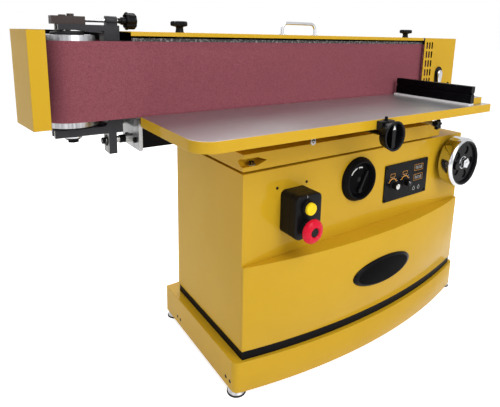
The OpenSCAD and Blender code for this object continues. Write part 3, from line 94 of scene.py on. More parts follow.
class Term:
    """A number in a material, which adds Math nodes when Python operators are used on it."""

    def __init__(self, graph: "Graph", socket: bpy.types.NodeSocket | None) -> None:
        """Wraps one output socket of a graph, or none for a node that has no output."""
        self.graph = graph
        self.socket = socket

    def _math(self, operation: str, *values: Any) -> "Term":
        """Adds a Math node.

        Args:
            operation: The node's operation.
            values: Its inputs, terms or numbers.

        Returns:
            The node's result.
        """
        return self.graph.node("ShaderNodeMath", {"operation": operation}, dict(enumerate(values)))

    def __add__(self, other: Any) -> "Term":
        """Sum."""
        return self._math("ADD", self, other)

    __radd__ = __add__

    def __sub__(self, other: Any) -> "Term":
        """Difference."""
        return self._math("SUBTRACT", self, other)

    def __rsub__(self, other: Any) -> "Term":
        """Difference with the term on the right."""
        return self._math("SUBTRACT", other, self)

    def __mul__(self, other: Any) -> "Term":
        """Product."""
        return self._math("MULTIPLY", self, other)

    __rmul__ = __mul__

    def __truediv__(self, other: Any) -> "Term":
        """Quotient."""
        return self._math("DIVIDE", self, other)

    def __rtruediv__(self, other: Any) -> "Term":
        """Quotient with the term below."""
        return self._math("DIVIDE", other, self)

    def __gt__(self, other: Any) -> "Term":
        """One where the term is the larger, else zero."""
        return self._math("GREATER_THAN", self, other)

    def __lt__(self, other: Any) -> "Term":
        """One where the term is the smaller, else zero."""
        return self._math("LESS_THAN", self, other)

    def __abs__(self) -> "Term":
        """Size without its sign."""
        return self._math("ABSOLUTE", self)

    def root(self) -> "Term":
        """Square root."""
        return self._math("SQRT", self)

    def highest(self, other: Any) -> "Term":
        """The larger of two."""
        return self._math("MAXIMUM", self, other)

    def ramp(self, low: float, high: float) -> "Term":
        """Eases from zero to one between two values.

        Args:
            low: Value that gives zero.
            high: Value that gives one.

        Returns:
            The eased term.
        """
        settings = {"interpolation_type": "SMOOTHSTEP"}
        return self.graph.node("ShaderNodeMapRange", settings, {0: self, 1: low, 2: high})


class Graph:
    """The nodes of one material or of the world."""

    # Numbers of a Mix node's two colours and of their blend. Other sockets there have the same names.
    mix_colours = (6, 7)
    mix_result = 2
    noise_rough = 0.6
    seen_rays = ("Is Camera Ray", "Is Glossy Ray", "Is Transmission Ray")

    def __init__(self, owner: bpy.types.Material | bpy.types.World) -> None:
        """Starts without nodes.

        Args:
            owner: The material or the world.
        """
        owner.use_nodes = True
        self.owner = owner
        self.tree = owner.node_tree
        self.tree.nodes.clear()

    def node(self, kind: str, settings: dict[str, Any], sockets: dict[Any, Any], output: Any = 0) -> Term:
        """Adds any node: its settings are set first, then its sockets.

        Args:
            kind: The node's type.
            settings: Properties of the node, such as its operation.
            sockets: Values or terms by input name or number.
            output: Which output to return.

        Returns:
            The chosen output as a term.
        """
        made = self.tree.nodes.new(kind)
        for key, value in settings.items():
            setattr(made, key, value)
        for key, value in sockets.items():
            if isinstance(value, Term):
                self.tree.links.new(value.socket, made.inputs[key])
            else:
                made.inputs[key].default_value = value
        return Term(self, made.outputs[output] if made.outputs else None)

    def place(self) -> Term:
        """Place on the piece in the part's own frame, in metres."""
        return self.node("ShaderNodeTexCoord", {}, {}, "Object")

    def normal(self) -> Term:
        """Outward direction in the piece's own frame."""
        return self.node("ShaderNodeTexCoord", {}, {}, "Normal")

    def seen(self) -> Term:
        """One on rays that the camera, a mirror or glass sees, else zero."""
        camera, mirror, glass = (self.node("ShaderNodeLightPath", {}, {}, name) for name in self.seen_rays)
        return camera.highest(mirror).highest(glass)

    def axis(self, vector: Term, name: str) -> Term:
        """One number of a vector.

        Args:
            vector: The vector.
            name: X, Y or Z.

        Returns:
            That number.
        """
        return self.node("ShaderNodeSeparateXYZ", {}, {0: vector}, name)

    def stretch(self, vector: Term, scale: Point) -> Term:
        """A vector scaled apart along its axes.

        Args:
            vector: The vector.
            scale: Factor for each axis.

        Returns:
            The scaled vector.
        """
        return self.node("ShaderNodeVectorMath", {"operation": "MULTIPLY"}, {0: vector, 1: scale})

    def noise(self, scale: float, detail: Octaves, vector: Term | None = None) -> Term:
        """Cloudy noise from zero to one.

        Args:
            scale: Clouds to the metre.
            detail: How finely they are broken up.
            vector: Where to look it up, or the piece's own place.

        Returns:
            The noise.
        """
        sockets = {"Vector": vector or self.place(), "Scale": scale, "Detail": detail}
        return self.node("ShaderNodeTexNoise", {}, {**sockets, "Roughness": self.noise_rough})

    def cells(self, scale: float) -> Term:
        """Distance to the nearest of many scattered points.

        Args:
            scale: Points to the metre.

        Returns:
            The distance.
        """
        return self.node("ShaderNodeTexVoronoi", {}, {"Vector": self.place(), "Scale": scale})

    def mix(self, factor: Any, first: Any, second: Any) -> Term:
        """Blend of two colours.

        Args:
            factor: Share of the second.
            first: Colour or term.
            second: Colour or term.

        Returns:
            The blended colour.
        """
        values = [(*value, 1.0) if isinstance(value, tuple) else value for value in (first, second)]
        sockets = {0: factor, **dict(zip(self.mix_colours, values))}
        return self.node("ShaderNodeMix", {"data_type": "RGBA"}, sockets, self.mix_result)

    def bump(self, height: Term, depth: float) -> Term:
        """Surface relief at full strength.

        Args:
            height: Height from zero to one.
            depth: Depth of a full step, in metres.

        Returns:
            The tilted normal.
        """
        sockets = {"Height": height, "Distance": depth, "Strength": 1.0}
        return self.node("ShaderNodeBump", {}, sockets, "Normal")

    def surface(self, fixed: dict[str, Any], varying: dict[str, Term]) -> bpy.types.Material:
        """Ends the material in one glossy surface.

        Args:
            fixed: Values that are the same all over.
            varying: Terms for the sockets that change over the surface.

        Returns:
            The finished material.
        """
        shader = self.node("ShaderNodeBsdfPrincipled", {}, {**fixed, **varying})
        self.node("ShaderNodeOutputMaterial", {}, {"Surface": shader})
        return self.owner

    def background(self, colour: Colour, strength: Term) -> None:
        """Ends the world in one even background.

        Args:
            colour: Its colour.
            strength: Its strength.
        """
        light = self.node("ShaderNodeBackground", {}, {"Color": (*colour, 1.0), "Strength": strength})
        self.node("ShaderNodeOutputWorld", {}, {"Surface": light})


CLEAR_ROUGH = 0.07


@dataclass
class Coat:
    """What one finish gives at each point: colour, gloss, metal and relief."""

    colour: Term
    rough: Term
    metal: Any
    height: Term
    depth: float

    def over(self, graph: Graph, mask: Term, below: "Coat") -> "Coat":
        """Lays this coat over another.

        Args:
            graph: The material's nodes.
            mask: One where this coat shows.
            below: The coat that shows elsewhere.

        Returns:
            The two coats as one.
        """
        deep = max(self.depth, below.depth)
        rest = 1.0 - mask
        return Coat(
            graph.mix(mask, below.colour, self.colour),
            self.rough * mask + below.rough * rest,
            mask * self.metal + rest * below.metal,
            self.height * mask * (self.depth / deep) + below.height * rest * (below.depth / deep),
            deep,
        )

    def material(self, graph: Graph, shine: float, clear: Any) -> bpy.types.Material:
        """Makes the material.

        Args:
            graph: The material's nodes.
            shine: Strength of the mirror part where it is no metal.
            clear: Weight of a clear coat, a number or a term.

        Returns:
            The finished material.
        """
        normal = graph.bump(self.height, self.depth)
        varying = {"Base Color": self.colour, "Roughness": self.rough, "Normal": normal}
        fixed: dict[str, Any] = {"Coat Roughness": CLEAR_ROUGH, "Specular IOR Level": shine}
        for name, value in (("Metallic", self.metal), ("Coat Weight", clear)):
            target = varying if isinstance(value, Term) else fixed
            target[name] = value
        return graph.surface(fixed, varying)


def darker(colour: Colour, share: float) -> Colour:
    """A colour at a share of its strength."""
    return tuple(share * part for part in colour)


class Finish:
    """What every finish has: the strength of its mirror part and the weight of its clear coat."""

    shine: float
    clear: float = 0.0

    def coat(self, graph: Graph) -> Coat:
        """Lays the finish.

        Args:
            graph: The material's nodes.

        Returns:
            The coat.
        """
        raise NotImplementedError


@dataclass(frozen=True)
class Enamel(Finish):
    """Sprayed enamel: slow colour drift, orange peel, rubbed patches and a little dust."""

    colour: Colour
    deep: Colour
    rough: float = 0.34
    shine: float = 0.1
    clear: float = 0.0
    drift_scale: float = 2.6
    drift_ramp: Flat = (0.25, 0.8)
    drift_share: float = 0.55
    rub_scale: float = 14.0
    rub_ramp: Flat = (0.52, 0.8)
    rub_rough: float = 0.16
    drift_rough: float = 0.05
    speck_scale: float = 260.0
    speck_ramp: Flat = (0.7, 0.78)
    speck_share: float = 0.22
    speck_dark_share: float = 0.5
    peel_scale: float = 330.0
    peel: float = 0.16 * MM

    def coat(self, graph: Graph) -> Coat:
        """Lays the enamel.

        Args:
            graph: The material's nodes.

        Returns:
            The coat.
        """
        drift = graph.noise(self.drift_scale, Octaves.RICH).ramp(*self.drift_ramp)
        rubbed = graph.noise(self.rub_scale, Octaves.BUSY).ramp(*self.rub_ramp)
        specks = graph.noise(self.speck_scale, Octaves.SOFT).ramp(*self.speck_ramp)
        colour = graph.mix(drift * self.drift_share, self.colour, self.deep)
        colour = graph.mix(specks * self.speck_share, colour, darker(self.deep, self.speck_dark_share))
        rough = self.rough + rubbed * self.rub_rough + drift * self.drift_rough
        return Coat(colour, rough, 0.0, graph.noise(self.peel_scale, Octaves.SOFT), self.peel)


@dataclass(frozen=True)
class Casting(Finish):
    """Sand cast iron under thin paint: pebbled skin with dull high spots."""

    colour: Colour
    worn: Colour
    rough: float = 0.5
    grain: float = 0.5 * MM
    shine: float = 0.2
    pebble_scale: float = 240.0
    pebble_share: float = 0.6
    blotch_scale: float = 22.0
    blotch_ramp: Flat = (0.45, 0.75)
    blotch_share: float = 0.6
    blotch_rough: float = 0.2

    def coat(self, graph: Graph) -> Coat:
        """Lays the cast skin.

        Args:
            graph: The material's nodes.

        Returns:
            The coat.
        """
        pebbles = graph.cells(self.pebble_scale)
        blotch = graph.noise(self.blotch_scale, Octaves.FULL)
        colour = graph.mix(blotch.ramp(*self.blotch_ramp) * self.blotch_share, self.colour, self.worn)
        rough = self.rough + blotch * self.blotch_rough - self.blotch_rough / 2
        height = pebbles * self.pebble_share + blotch * (1.0 - self.pebble_share)
        return Coat(colour, rough, 0.0, height, self.grain)


@dataclass(frozen=True)
class Turned(Finish):
    """Machined metal with fine tool lines across the way it was cut."""

    colour: Colour
    stain: Colour
    line_scales: Point = (900.0, 60.0, 60.0)
    rough: float = 0.3
    shine: float = 0.5
    streak_ramp: Flat = (0.3, 0.75)
    streak_share: float = 0.22
    streak_dark_share: float = 0.45
    smudge_scale: float = 18.0
    smudge_ramp: Flat = (0.4, 0.8)
    smudge_share: float = 0.5
    smudge_rough: float = 0.14
    line_rough: float = 0.1
    line_depth: float = 0.06 * MM

    def coat(self, graph: Graph) -> Coat:
        """Lays the machined skin.

        Args:
            graph: The material's nodes.

        Returns:
            The coat.
        """
        lines = graph.noise(1.0, Octaves.SOFT, graph.stretch(graph.place(), self.line_scales))
        smudge = graph.noise(self.smudge_scale, Octaves.RICH).ramp(*self.smudge_ramp)
        colour = graph.mix(smudge * self.smudge_share, self.colour, self.stain)
        streak = lines.ramp(*self.streak_ramp) * self.streak_share
        colour = graph.mix(streak, colour, darker(self.stain, self.streak_dark_share))
        rough = self.rough + smudge * self.smudge_rough + lines * self.line_rough - self.line_rough / 2
        return Coat(colour, rough, 1.0, lines, self.line_depth)


@dataclass(frozen=True)
class Plating(Finish):
    """Polished chrome plate with faint smears."""

    colour: Colour = (0.58, 0.59, 0.61)
    rough: float = 0.09
    shine: float = 0.5
    smear_scale: float = 40.0
    smear_ramp: Flat = (0.4, 0.85)
    smear_share: float = 0.3
    smear_dark_share: float = 0.7
    smear_rough: float = 0.12
    ripple_scale: float = 700.0
    ripple: float = 0.02 * MM

    def coat(self, graph: Graph) -> Coat:
        """Lays the plate.

        Args:
            graph: The material's nodes.

        Returns:
            The coat.
        """
        smear = graph.noise(self.smear_scale, Octaves.RICH).ramp(*self.smear_ramp)
        dull = darker(self.colour, self.smear_dark_share)
        colour = graph.mix(smear * self.smear_share, self.colour, dull)
        rough = self.rough + smear * self.smear_rough
        return Coat(colour, rough, 1.0, graph.noise(self.ripple_scale, Octaves.SOFT), self.ripple)


@dataclass(frozen=True)
class Moulding(Finish):
    """Moulded plastic with a spark eroded grain and handled, shinier patches."""

    colour: Colour
    bright: Colour
    rough: float = 0.42
    grain: float = 0.12 * MM
    shine: float = 0.22
    grain_scale: float = 900.0
    grain_rough: float = 0.06
    hand_scale: float = 30.0
    hand_ramp: Flat = (0.4, 0.75)
    hand_share: float = 0.5
    hand_smooth: float = 0.12

    def coat(self, graph: Graph) -> Coat:
        """Lays the moulded skin.

        Args:
            graph: The material's nodes.

        Returns:
            The coat.
        """
        grain = graph.cells(self.grain_scale)
        handled = graph.noise(self.hand_scale, Octaves.RICH).ramp(*self.hand_ramp)
        colour = graph.mix(handled * self.hand_share, self.colour, self.bright)
        rough = self.rough - handled * self.hand_smooth + grain * self.grain_rough
        return Coat(colour, rough, 0.0, grain, self.grain)


@dataclass(frozen=True)
class Abrasive(Finish):
    """Cloth belt with resin bonded grit, fine speckle, slow clouds and one slanted joint."""

    colour: Colour = (0.236, 0.066, 0.086)
    dark: Colour = (0.17, 0.046, 0.06)
    dusty: Colour = (0.285, 0.09, 0.11)
    rough: float = 0.86
    shine: float = 0.08
    grit_scale: float = 1100.0
    grit_smooth: float = 0.12
    grit_depth: float = 0.3 * MM
    speckle_scale: float = 330.0
    speckle_ramp: Flat = (0.36, 0.66)
    even_share: float = 0.45
    streak_scales: Point = (0.8, 0.8, 60.0)
    streak_ramp: Flat = (0.45, 0.75)
    streak_share: float = 0.12
    cloud_scale: float = 5.0
    cloud_ramp: Flat = (0.4, 0.8)
    cloud_share: float = 0.25
    joint_at: float = -470 * MM
    joint_slant: float = 0.55
    joint_width: float = 4 * MM
    joint_ramp: Flat = (0.5, 1.0)
    joint_share: float = 0.35

    def coat(self, graph: Graph) -> Coat:
        """Lays the grit.

        Args:
            graph: The material's nodes.

        Returns:
            The coat.
        """
        place = graph.place()
        grit = graph.cells(self.grit_scale)
        speckle = graph.noise(self.speckle_scale, Octaves.SOFT)
        streaks = graph.noise(1.0, Octaves.PLAIN, graph.stretch(place, self.streak_scales))
        cloud = graph.noise(self.cloud_scale, Octaves.RICH)
        colour = graph.mix(speckle.ramp(*self.speckle_ramp), self.dark, self.dusty)
        colour = graph.mix(self.even_share, colour, self.colour)
        colour = graph.mix(streaks.ramp(*self.streak_ramp) * self.streak_share, colour, self.dusty)
        colour = graph.mix(cloud.ramp(*self.cloud_ramp) * self.cloud_share, colour, self.dark)
        along = graph.axis(place, "X") + graph.axis(place, "Z") * self.joint_slant
        joint = 1.0 - (abs(along - self.joint_at) / self.joint_width).ramp(*self.joint_ramp)
        colour = graph.mix(joint * self.joint_share, colour, self.dark)
        return Coat(colour, self.rough - grit * self.grit_smooth, 0.0, grit, self.grit_depth)


@dataclass(frozen=True)
class Ground(Finish):
    """Ground iron table: fine wheel lines, slow stains and scattered fine scratches."""

    colour: Colour = (0.52, 0.515, 0.52)
    stain: Colour = (0.40, 0.39, 0.39)
    line_colour: Colour = (0.6, 0.6, 0.61)
    scratch_colour: Colour = (0.65, 0.65, 0.66)
    rough: float = 0.33
    metal: float = 0.95
    shine: float = 0.4
    line_scales: Point = (14.0, 900.0, 1.0)
    line_ramp: Flat = (0.35, 0.7)
    line_share: float = 0.18
    line_depth: float = 0.04 * MM
    stain_scale: float = 4.0
    stain_ramp: Flat = (0.35, 0.75)
    stain_share: float = 0.55
    stain_rough: float = 0.07
    scratch_scales: Point = (12.0, 420.0, 1.0)
    scratch_ramp: Flat = (0.62, 0.7)
    scratch_share: float = 0.12
    scratch_smooth: float = 0.03

    def coat(self, graph: Graph) -> Coat:
        """Lays the ground skin.

        Args:
            graph: The material's nodes.

        Returns:
            The coat.
        """
        place = graph.place()
        lines = graph.noise(1.0, Octaves.PLAIN, graph.stretch(place, self.line_scales))
        slow = graph.noise(self.stain_scale, Octaves.FULL).ramp(*self.stain_ramp)
        scratch = graph.noise(1.0, Octaves.SOFT, graph.stretch(place, self.scratch_scales))
        scratch = scratch.ramp(*self.scratch_ramp)
        colour = graph.mix(slow * self.stain_share, self.colour, self.stain)
        colour = graph.mix(lines.ramp(*self.line_ramp) * self.line_share, colour, self.line_colour)
        colour = graph.mix(scratch * self.scratch_share, colour, self.scratch_colour)
        rough = self.rough + slow * self.stain_rough - scratch * self.scratch_smooth
        return Coat(colour, rough, self.metal, lines, self.line_depth)


@dataclass(frozen=True)
class Ink(Finish):
    """Screen printed ink with a slightly uneven film."""

    colour: Colour
    rough: float = 0.45
    shine: float = 0.3
    film_scale: float = 500.0
    film_ramp: Flat = (0.55, 0.8)
    film_share: float = 0.3
    film_dark_share: float = 0.6
    film_rough: float = 0.15
    film: float = 0.03 * MM

    def coat(self, graph: Graph) -> Coat:
        """Lays the ink.

        Args:
            graph: The material's nodes.

        Returns:
            The coat.
        """
        film = graph.noise(self.film_scale, Octaves.PLAIN)
        thin = film.ramp(*self.film_ramp) * self.film_share
        colour = graph.mix(thin, self.colour, darker(self.colour, self.film_dark_share))
        return Coat(colour, self.rough + film * self.film_rough, 0.0, film, self.film)


YELLOW = Enamel((0.6, 0.36, 0.018), (0.525, 0.303, 0.01), 0.36, shine=0.015, clear=0.24)
# Darker yellow for the carriage's upper part under the table: painted shade.
PAINTED_SHADE_YELLOW = Enamel((0.22, 0.125, 0.008), (0.16, 0.09, 0.006), 0.5, shine=0.02)
BLACK_ENAMEL = Enamel((0.006, 0.006, 0.007), (0.011, 0.011, 0.011), 0.4, shine=0.03)
BLACK_CASTING = Casting((0.009, 0.009, 0.010), (0.024, 0.023, 0.022))
BROWN_CASTING = Casting((0.045, 0.032, 0.029), (0.07, 0.052, 0.047))
GREY_CASTING = Casting((0.12, 0.12, 0.125), (0.2, 0.2, 0.2))
DARK_CASTING = Casting((0.024, 0.024, 0.028), (0.04, 0.04, 0.045), 0.42, 0.3 * MM)
MOTTLED = Casting((0.05, 0.05, 0.05), (0.62, 0.61, 0.6), 0.62, 0.3 * MM, blotch_scale=110.0)
STEEL = Turned((0.40, 0.40, 0.40), (0.26, 0.255, 0.25), rough=0.4)
DULL_STEEL = Turned((0.30, 0.30, 0.29), (0.2, 0.2, 0.19), rough=0.5)
ROUND_STEEL = Turned((0.56, 0.56, 0.57), (0.36, 0.35, 0.34), (700.0, 700.0, 30.0), 0.26)
BRIGHT = Turned((0.44, 0.44, 0.46), (0.2, 0.2, 0.21), (150.0, 150.0, 3.0), 0.34, streak_share=0.6)
ALLOY = Turned((0.6, 0.6, 0.62), (0.42, 0.42, 0.43), (40.0, 40.0, 1100.0), 0.3)
ANODISED = Turned((0.006, 0.006, 0.008), (0.013, 0.013, 0.015), (900.0, 8.0, 900.0), 0.42)
CHROME = Plating()
MAROON_GRIT = Abrasive()
GROUND_IRON = Ground()
BLACK_PLASTIC = Moulding((0.005, 0.005, 0.006), (0.009, 0.009, 0.010), 0.36, shine=0.1)
RED_PLASTIC = Moulding((0.62, 0.004, 0.026), (0.72, 0.012, 0.045), 0.26, 0.04 * MM, 0.14)
YELLOW_PLASTIC = Moulding((0.84, 0.62, 0.012), (0.9, 0.7, 0.03), 0.3, 0.04 * MM, 0.12)
PALE_PLASTIC = Moulding((0.66, 0.66, 0.67), (0.74, 0.74, 0.75), 0.36, 0.04 * MM)
PANEL_BLACK = Moulding((0.005, 0.005, 0.006), (0.008, 0.008, 0.009), 0.3, 0.02 * MM, 0.05)
GLOSS_BLACK = Moulding((0.004, 0.004, 0.005), (0.007, 0.007, 0.008), 0.2, 0.02 * MM, 0.1)
LACQUER = Moulding((0.003, 0.003, 0.004), (0.005, 0.005, 0.006), 0.22, 0.01 * MM, 0.07)
DEEP_BLACK = Moulding((0.0025, 0.0025, 0.003), (0.004, 0.004, 0.005), 0.34, 0.03 * MM, 0.012)
RUBBER = Moulding((0.02, 0.02, 0.02), (0.035, 0.034, 0.032), 0.7, 0.2 * MM)
# White ink for print, also used for the dial's two arcs of painted highlight.
WHITE_INK_AND_HIGHLIGHT = Ink((0.72, 0.72, 0.7))
ORANGE_INK = Ink((0.72, 0.32, 0.035))

# Shares of a face's direction over which it counts as turned that way.
SQUARE_SHARE = 0.8
TURNED_SHARE = 0.5
SLIGHT_SHARE = 0.3


class Mask(Enum):
    """How two finishes share one solid."""

    TOP = "faces that look up"
    LEFT = "faces that look left"
    RADIUS = "points far from an axis along Y"
    FRONT = "points in front of a plane"
    ABOVE = "points above a height"
    # SHELL lays painted shade on a cover's inner faces and undersides, and the upper finish on what stands
    # proud of its front.
    SHELL = "the inner faces of a bent cover, and what stands proud of its front"

    def term(self, graph: Graph, where: Sequence[float]) -> Term:
        """The mask's value.

        Args:
            graph: The material's nodes.
            where: The mask's own sizes: a height, a plane, an axis in X and Z with a radius, or a cover's.

        Returns:
            One inside the mask, else zero.
        """
        place = graph.place()
        if self is Mask.TOP:
            up = graph.axis(graph.normal(), "Z") > SQUARE_SHARE
            return up * (graph.axis(place, "Z") > where[0])
        if self is Mask.LEFT:
            left = graph.axis(graph.normal(), "X") < -SQUARE_SHARE
            return left * (graph.axis(place, "X") < where[0])
        if self is Mask.RADIUS:
            side = graph.axis(place, "X") - where[0]
            rise = graph.axis(place, "Z") - where[1]
            return (side * side + rise * rise).root() > where[2]
        if self is Mask.SHELL:
            return self.shell(graph, where)
        if self is Mask.FRONT:
            return graph.axis(place, "Y") < where[0]
        return graph.axis(place, "Z") > where[0]

    @staticmethod
    def shell(graph: Graph, where: Sequence[float]) -> Term:
        """Inner faces and undersides of a bent cover, where dark painted shade goes, and what stands proud of
        its front.

        Args:
            graph: The material's nodes.
            where: One if the cover opens to the right, or minus one, its middle in Y and its front in Y.

        Returns:
            One there, else zero.
        """
        look = graph.normal()
        y = graph.axis(graph.place(), "Y")
        across = graph.axis(look, "X") * where[0] > SLIGHT_SHARE
        along = graph.axis(look, "Y")
        front = (along > TURNED_SHARE) * (y < where[1])
        back = (along < -TURNED_SHARE) * (y > where[1])
        under = graph.axis(look, "Z") < -TURNED_SHARE
        proud = y < where[2]
        return across.highest(front).highest(back).highest(under).highest(proud)


class Edge(Enum):
    """Width of the rounding along a solid's edges, by how the solid is made."""

    SHARP = 0.0
    FILED = 0.5 * MM
    TRIMMED = 0.6 * MM
    FOLDED = 0.8 * MM
    FACED = 1.0 * MM
    CAST = 1.2 * MM
    PRESSED = 1.4 * MM
    SPUN = 1.5 * MM
    BENT = 1.6 * MM
    ROLLED = 2.0 * MM


class Round(IntEnum):
    """Steps round a turned piece, by its size."""

    HEXAGON = 6
    TINY = 28
    SMALL = 32
    FAIR = 36
    STOUT = 40
    PLAIN = 56
    WIDE = 72
    BROAD = 80
    GREAT = 96


class Crease(IntEnum):
    """Angle in degrees under which a piece's edges are shaded smooth, by its form."""

    TURNED = 32
    CASE = 40
    FLUTED = 45
    MOULDED = 50


class Wardrobe:
    """Makes each finish once and puts it on solids and pieces."""

    made: dict[Finish, bpy.types.Material] = {}
    weld: float = 0.01 * MM
    flat_angle: float = 0.5
    corner_angle: float = 40.0
    solid_segments: int = 2
    piece_segments: int = 3

    @classmethod
    def material(cls, finish: Finish | bpy.types.Material) -> bpy.types.Material:
        """The material of a finish.

        Args:
            finish: A finish, or a ready material.

        Returns:
            Its material, made on first use.
        """
        if isinstance(finish, bpy.types.Material):
            return finish
        if finish not in cls.made:
            graph = Graph(bpy.data.materials.new(f"{type(finish).__name__}{len(cls.made)}"))
            cls.made[finish] = finish.coat(graph).material(graph, finish.shine, finish.clear)
        return cls.made[finish]

    @staticmethod
    def shared(upper: Finish, lower: Finish, mask: Mask, where: Sequence[float]) -> bpy.types.Material:
        """A material of two finishes.

        Args:
            upper: The finish inside the mask.
            lower: The finish outside it.
            mask: How they share the solid.
            where: The mask's own sizes, in metres.

        Returns:
            The new material.
        """
        graph = Graph(bpy.data.materials.new(f"{type(upper).__name__}_on_{type(lower).__name__}"))
        share = mask.term(graph, where)
        coat = upper.coat(graph).over(graph, share, lower.coat(graph))
        clear = (1.0 - share) * lower.clear if lower.clear else 0.0
        return coat.material(graph, lower.shine, clear)

    @classmethod
    def soften(cls, thing: bpy.types.Object, width: float, segments: int) -> None:
        """Rounds an object's sharp edges.

        Args:
            thing: The solid or piece.
            width: Width of the rounding, in metres.
            segments: Steps across it.
        """
        bevel = thing.modifiers.new("soft_edges", "BEVEL")
        bevel.width = width
        bevel.segments = segments
        bevel.limit_method = "ANGLE"
        bevel.angle_limit = math.radians(cls.corner_angle)
        bevel.harden_normals = True

    @classmethod
    def dress(cls, node: str, finish: Finish | bpy.types.Material, edge: Edge = Edge.SHARP) -> None:
        """Puts a finish on a solid of the frame, and rounds its edges a little.

        Args:
            node: The solid's name.
            finish: A finish, or a ready material.
            edge: How its edges are rounded.
        """
        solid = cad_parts[node]
        material = cls.material(finish)
        if not solid.material_slots:
            solid.data.materials.append(material)
        for slot in solid.material_slots:
            slot.link = "OBJECT"
            slot.material = material
        if edge is not Edge.SHARP:
            weld = solid.modifiers.new("weld", "WELD")
            weld.merge_threshold = cls.weld
            flat = solid.modifiers.new("flat_faces", "DECIMATE")
            flat.decimate_type = "DISSOLVE"
            flat.angle_limit = math.radians(cls.flat_angle)
            cls.soften(solid, edge.value, cls.solid_segments)
        LOG.info("dressed %s", node)


@cache
def corners(node: str) -> list[Vector]:
    """Lowest and highest corner of a solid at rest, measured once."""
    return [Vector(corner).freeze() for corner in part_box(node)]


def low(node: str) -> Vector:
    """Lowest corner of a solid at rest."""
    return corners(node)[0]


def high(node: str) -> Vector:
    """Highest corner of a solid at rest."""
    return corners(node)[1]


def middle(node: str) -> Vector:
    """Middle of a solid's box at rest."""
    return (low(node) + high(node)) / 2


def back_of(node: str) -> Point:
    """Middle of a solid's back face at rest."""
    return (middle(node).x, high(node).y, middle(node).z)


def span(node: str) -> Vector:
    """Size of a solid's box at rest."""
    return high(node) - low(node)


def mm(*pairs: Flat) -> tuple[Flat, ...]:
    """A profile in metres from pairs in millimetres."""
    return tuple((a * MM, b * MM) for a, b in pairs)


def scaled(shares: Profile, radius: float, height: float, foot: float = 0.0) -> list[Flat]:
    """A profile from shares of its sizes.

    Args:
        shares: Pairs of a share of the radius and a share of the height.
        radius: Full radius.
        height: Full height.
        foot: Where the height is counted from.

    Returns:
        The profile, in pairs of radius and height.
    """
    return [(radius * a, foot + height * b) for a, b in shares]


def ringed(shares: Levels, radius: float, height: float, dent: float, foot: float = 0.0) -> list[Point]:
    """Rings of a lobed grip from shares of its sizes.

    Args:
        shares: Shares of the radius, of the height and of the dent at each ring.
        radius: Full radius.
        height: Full height.
        dent: Full depth of the hollows between the lobes.
        foot: Where the height is counted from.

    Returns:
        Radius, height and depth of the hollows at each ring.
    """
    return [(radius * a, foot + height * b, dent * c) for a, b, c in shares]


def offset(edge: Profile, radius: float, height: float) -> list[Flat]:
    """A profile shifted out by a radius and up by a height."""
    return [(radius + a, height + b) for a, b in edge]


def rounded(width: float, height: float, radius: float, steps: int) -> list[Flat]:
    """Outline of a rectangle with round corners.

    Args:
        width: Full width.
        height: Full height.
        radius: Corner radius.
        steps: Points to each corner, less one.

    Returns:
        The outline, anticlockwise.
    """
    points = []
    for corner, (sx, sy) in enumerate(((1, 1), (-1, 1), (-1, -1), (1, -1))):
        for step in range(steps + 1):
            angle = math.radians(90 * corner + 90 * step / steps)
            x = sx * (width / 2 - radius) + radius * math.cos(angle)
            points.append((x, sy * (height / 2 - radius) + radius * math.sin(angle)))
    return points


def ring_of(radius: float, count: int, start: float = 0.0, sweep: float = 360.0) -> list[Flat]:
    """Points on a circle or an arc.

    Args:
        radius: Radius.
        count: Number of points, or of steps on an arc.
        start: First angle, in degrees.
        sweep: Angle swept, in degrees. An arc includes both its ends.

    Returns:
        The points.
    """
    last = count if sweep >= 360 else count + 1
    angles = [math.radians(start + sweep * i / count) for i in range(last)]
    return [(radius * math.cos(a), radius * math.sin(a)) for a in angles]


def lobes(radius: float, count: int, depth: float, points: int, power: float = 1.4) -> list[Flat]:
    """Outline of a grip with smooth lobes.

    Args:
        radius: Radius over the lobes.
        count: Number of lobes.
        depth: Depth of the hollows between them.
        points: Points in the outline.
        power: How narrow the hollows are.

    Returns:
        The outline.
    """
    outline = []
    for i in range(points):
        angle = math.tau * i / points
        r = radius - depth * (0.5 - 0.5 * math.cos(count * angle)) ** power
        outline.append((r * math.cos(angle), r * math.sin(angle)))
    return outline


